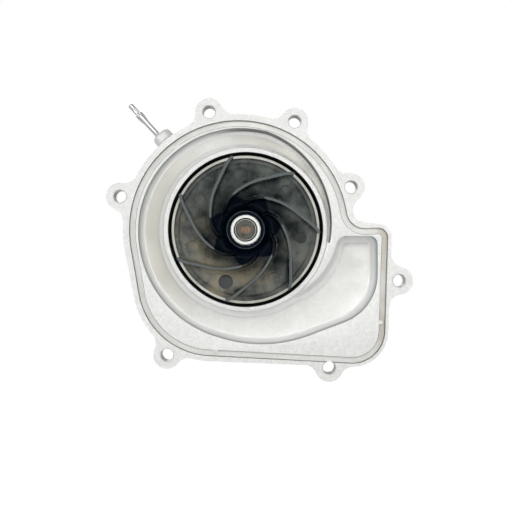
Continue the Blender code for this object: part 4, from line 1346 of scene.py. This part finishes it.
# %% Bodies, slots and kept nodes
PIECES = [
    (casting, "housing", "cast_aluminium", "pump_housing"),
    (impeller, "rotor", "moulded_black", "impeller"),
    (bush, "rotor", "bright_steel", "impeller_bush"),
    (shaft, "rotor", "bearing_steel", "pump_shaft"),
    (outer_ring, "housing", "bearing_steel", "bearing_outer_ring"),
    (hub, "rotor", "coated_steel", "pulley_hub"),
    (pulley, "rotor", "coated_steel", "pulley"),
    (tube_piece, "housing", "plated_steel", "vent_tube"),
    (cap, "housing", "plated_steel", "leak_chamber_cap"),
]
PIECES += [(bolt, "rotor", "plated_steel", f"pulley_bolt_{k + 1}") for k, bolt in enumerate(bolts)]
for piece, body, slot, stood_for in PIECES:
    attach(piece, body)
    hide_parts(stood_for)

KEPT_FINISHES = {
    "cast_aluminium": CAST, "moulded_black": MOULDED, "bright_steel": BRIGHT_STEEL,
    "bearing_steel": BEARING_STEEL, "plated_steel": PLATED, "coated_steel": COATED,
    "black_rubber": RUBBER, "carbon": CARBON, "ceramic": CERAMIC, "stainless": STAINLESS,
}
for stored in frame["nodes"].values():
    for socket in stored.material_slots:
        socket.material = KEPT_FINISHES[socket.material.name.split(".")[0]]
print(len(PIECES), "new pieces,", len(frame["nodes"]), "nodes in the frame")

# %% [markdown]
# ## Floor, light and surroundings
# A plain white floor and a white room, lit softly from in front and above, so that the walls that
# look down or sideways stay darker than the faces.

# %% Stage
AIM = Vector((0.0, 0.03, -0.01))  # where every lamp points


def area_light(name, place, size, power):
    data = bpy.data.lights.new(name, "AREA")
    data.shape, data.size, data.energy = "SQUARE", size, power
    light = bpy.data.objects.new(name, data)
    light.location = place
    light.rotation_euler = (AIM - Vector(place)).to_track_quat("-Z", "Y").to_euler()
    bpy.context.scene.collection.objects.link(light)


def white_floor():
    bm = bmesh.new()
    bmesh.ops.create_grid(bm, x_segments=1, y_segments=1, size=6000.0)
    bmesh.ops.translate(bm, vec=(0, 0, cad_low.z / MM), verts=bm.verts)
    made, tree = finish("floor_white", Roughness=0.9, Base_Color=(0.85, 0.85, 0.85, 1))
    seen = node(tree, "ShaderNodeLightPath").outputs["Is Camera Ray"]
    glow = node(tree, "ShaderNodeEmission", {"Color": (1, 1, 1, 1), "Strength": 1.05})
    both = node(tree, "ShaderNodeMixShader", {0: times(seen, 0.93), 2: glow.outputs[0]})
    tree.links.new(tree.nodes["Principled BSDF"].outputs[0], both.inputs[1])
    tree.links.new(both.outputs[0], tree.nodes["Material Output"].inputs["Surface"])
    return as_object("floor", bm, made)


def white_room(seen, mirrored, soft):
    """White to the camera, a bright room in reflections and a softer one for diffuse light."""
    world = bpy.data.worlds.new("white_room")
    bpy.context.scene.world = world
    world.use_nodes = True
    tree = world.node_tree
    path = node(tree, "ShaderNodeLightPath").outputs
    strength = plus(times(path["Is Camera Ray"], seen - soft), soft)
    strength = plus(strength, times(path["Is Glossy Ray"], mirrored - soft))
    background = tree.nodes["Background"]
    background.inputs["Color"].default_value = (1, 1, 1, 1)
    tree.links.new(strength, background.inputs["Strength"])


white_floor()
white_room(seen=1.0, mirrored=0.55, soft=0.33)
area_light("key", (0.05, -1.3, 0.12), 0.8, 6.8)
area_light("left", (-1.0, -0.8, 0.2), 0.6, 3.2)
area_light("right", (1.0, -0.8, 0.1), 0.6, 1.8)
area_light("top", (0.0, -0.7, 1.0), 0.6, 1.3)
area_light("rear", (-0.6, 1.2, 0.8), 0.9, 10.0)
bpy.context.scene.view_settings.view_transform = "Standard"
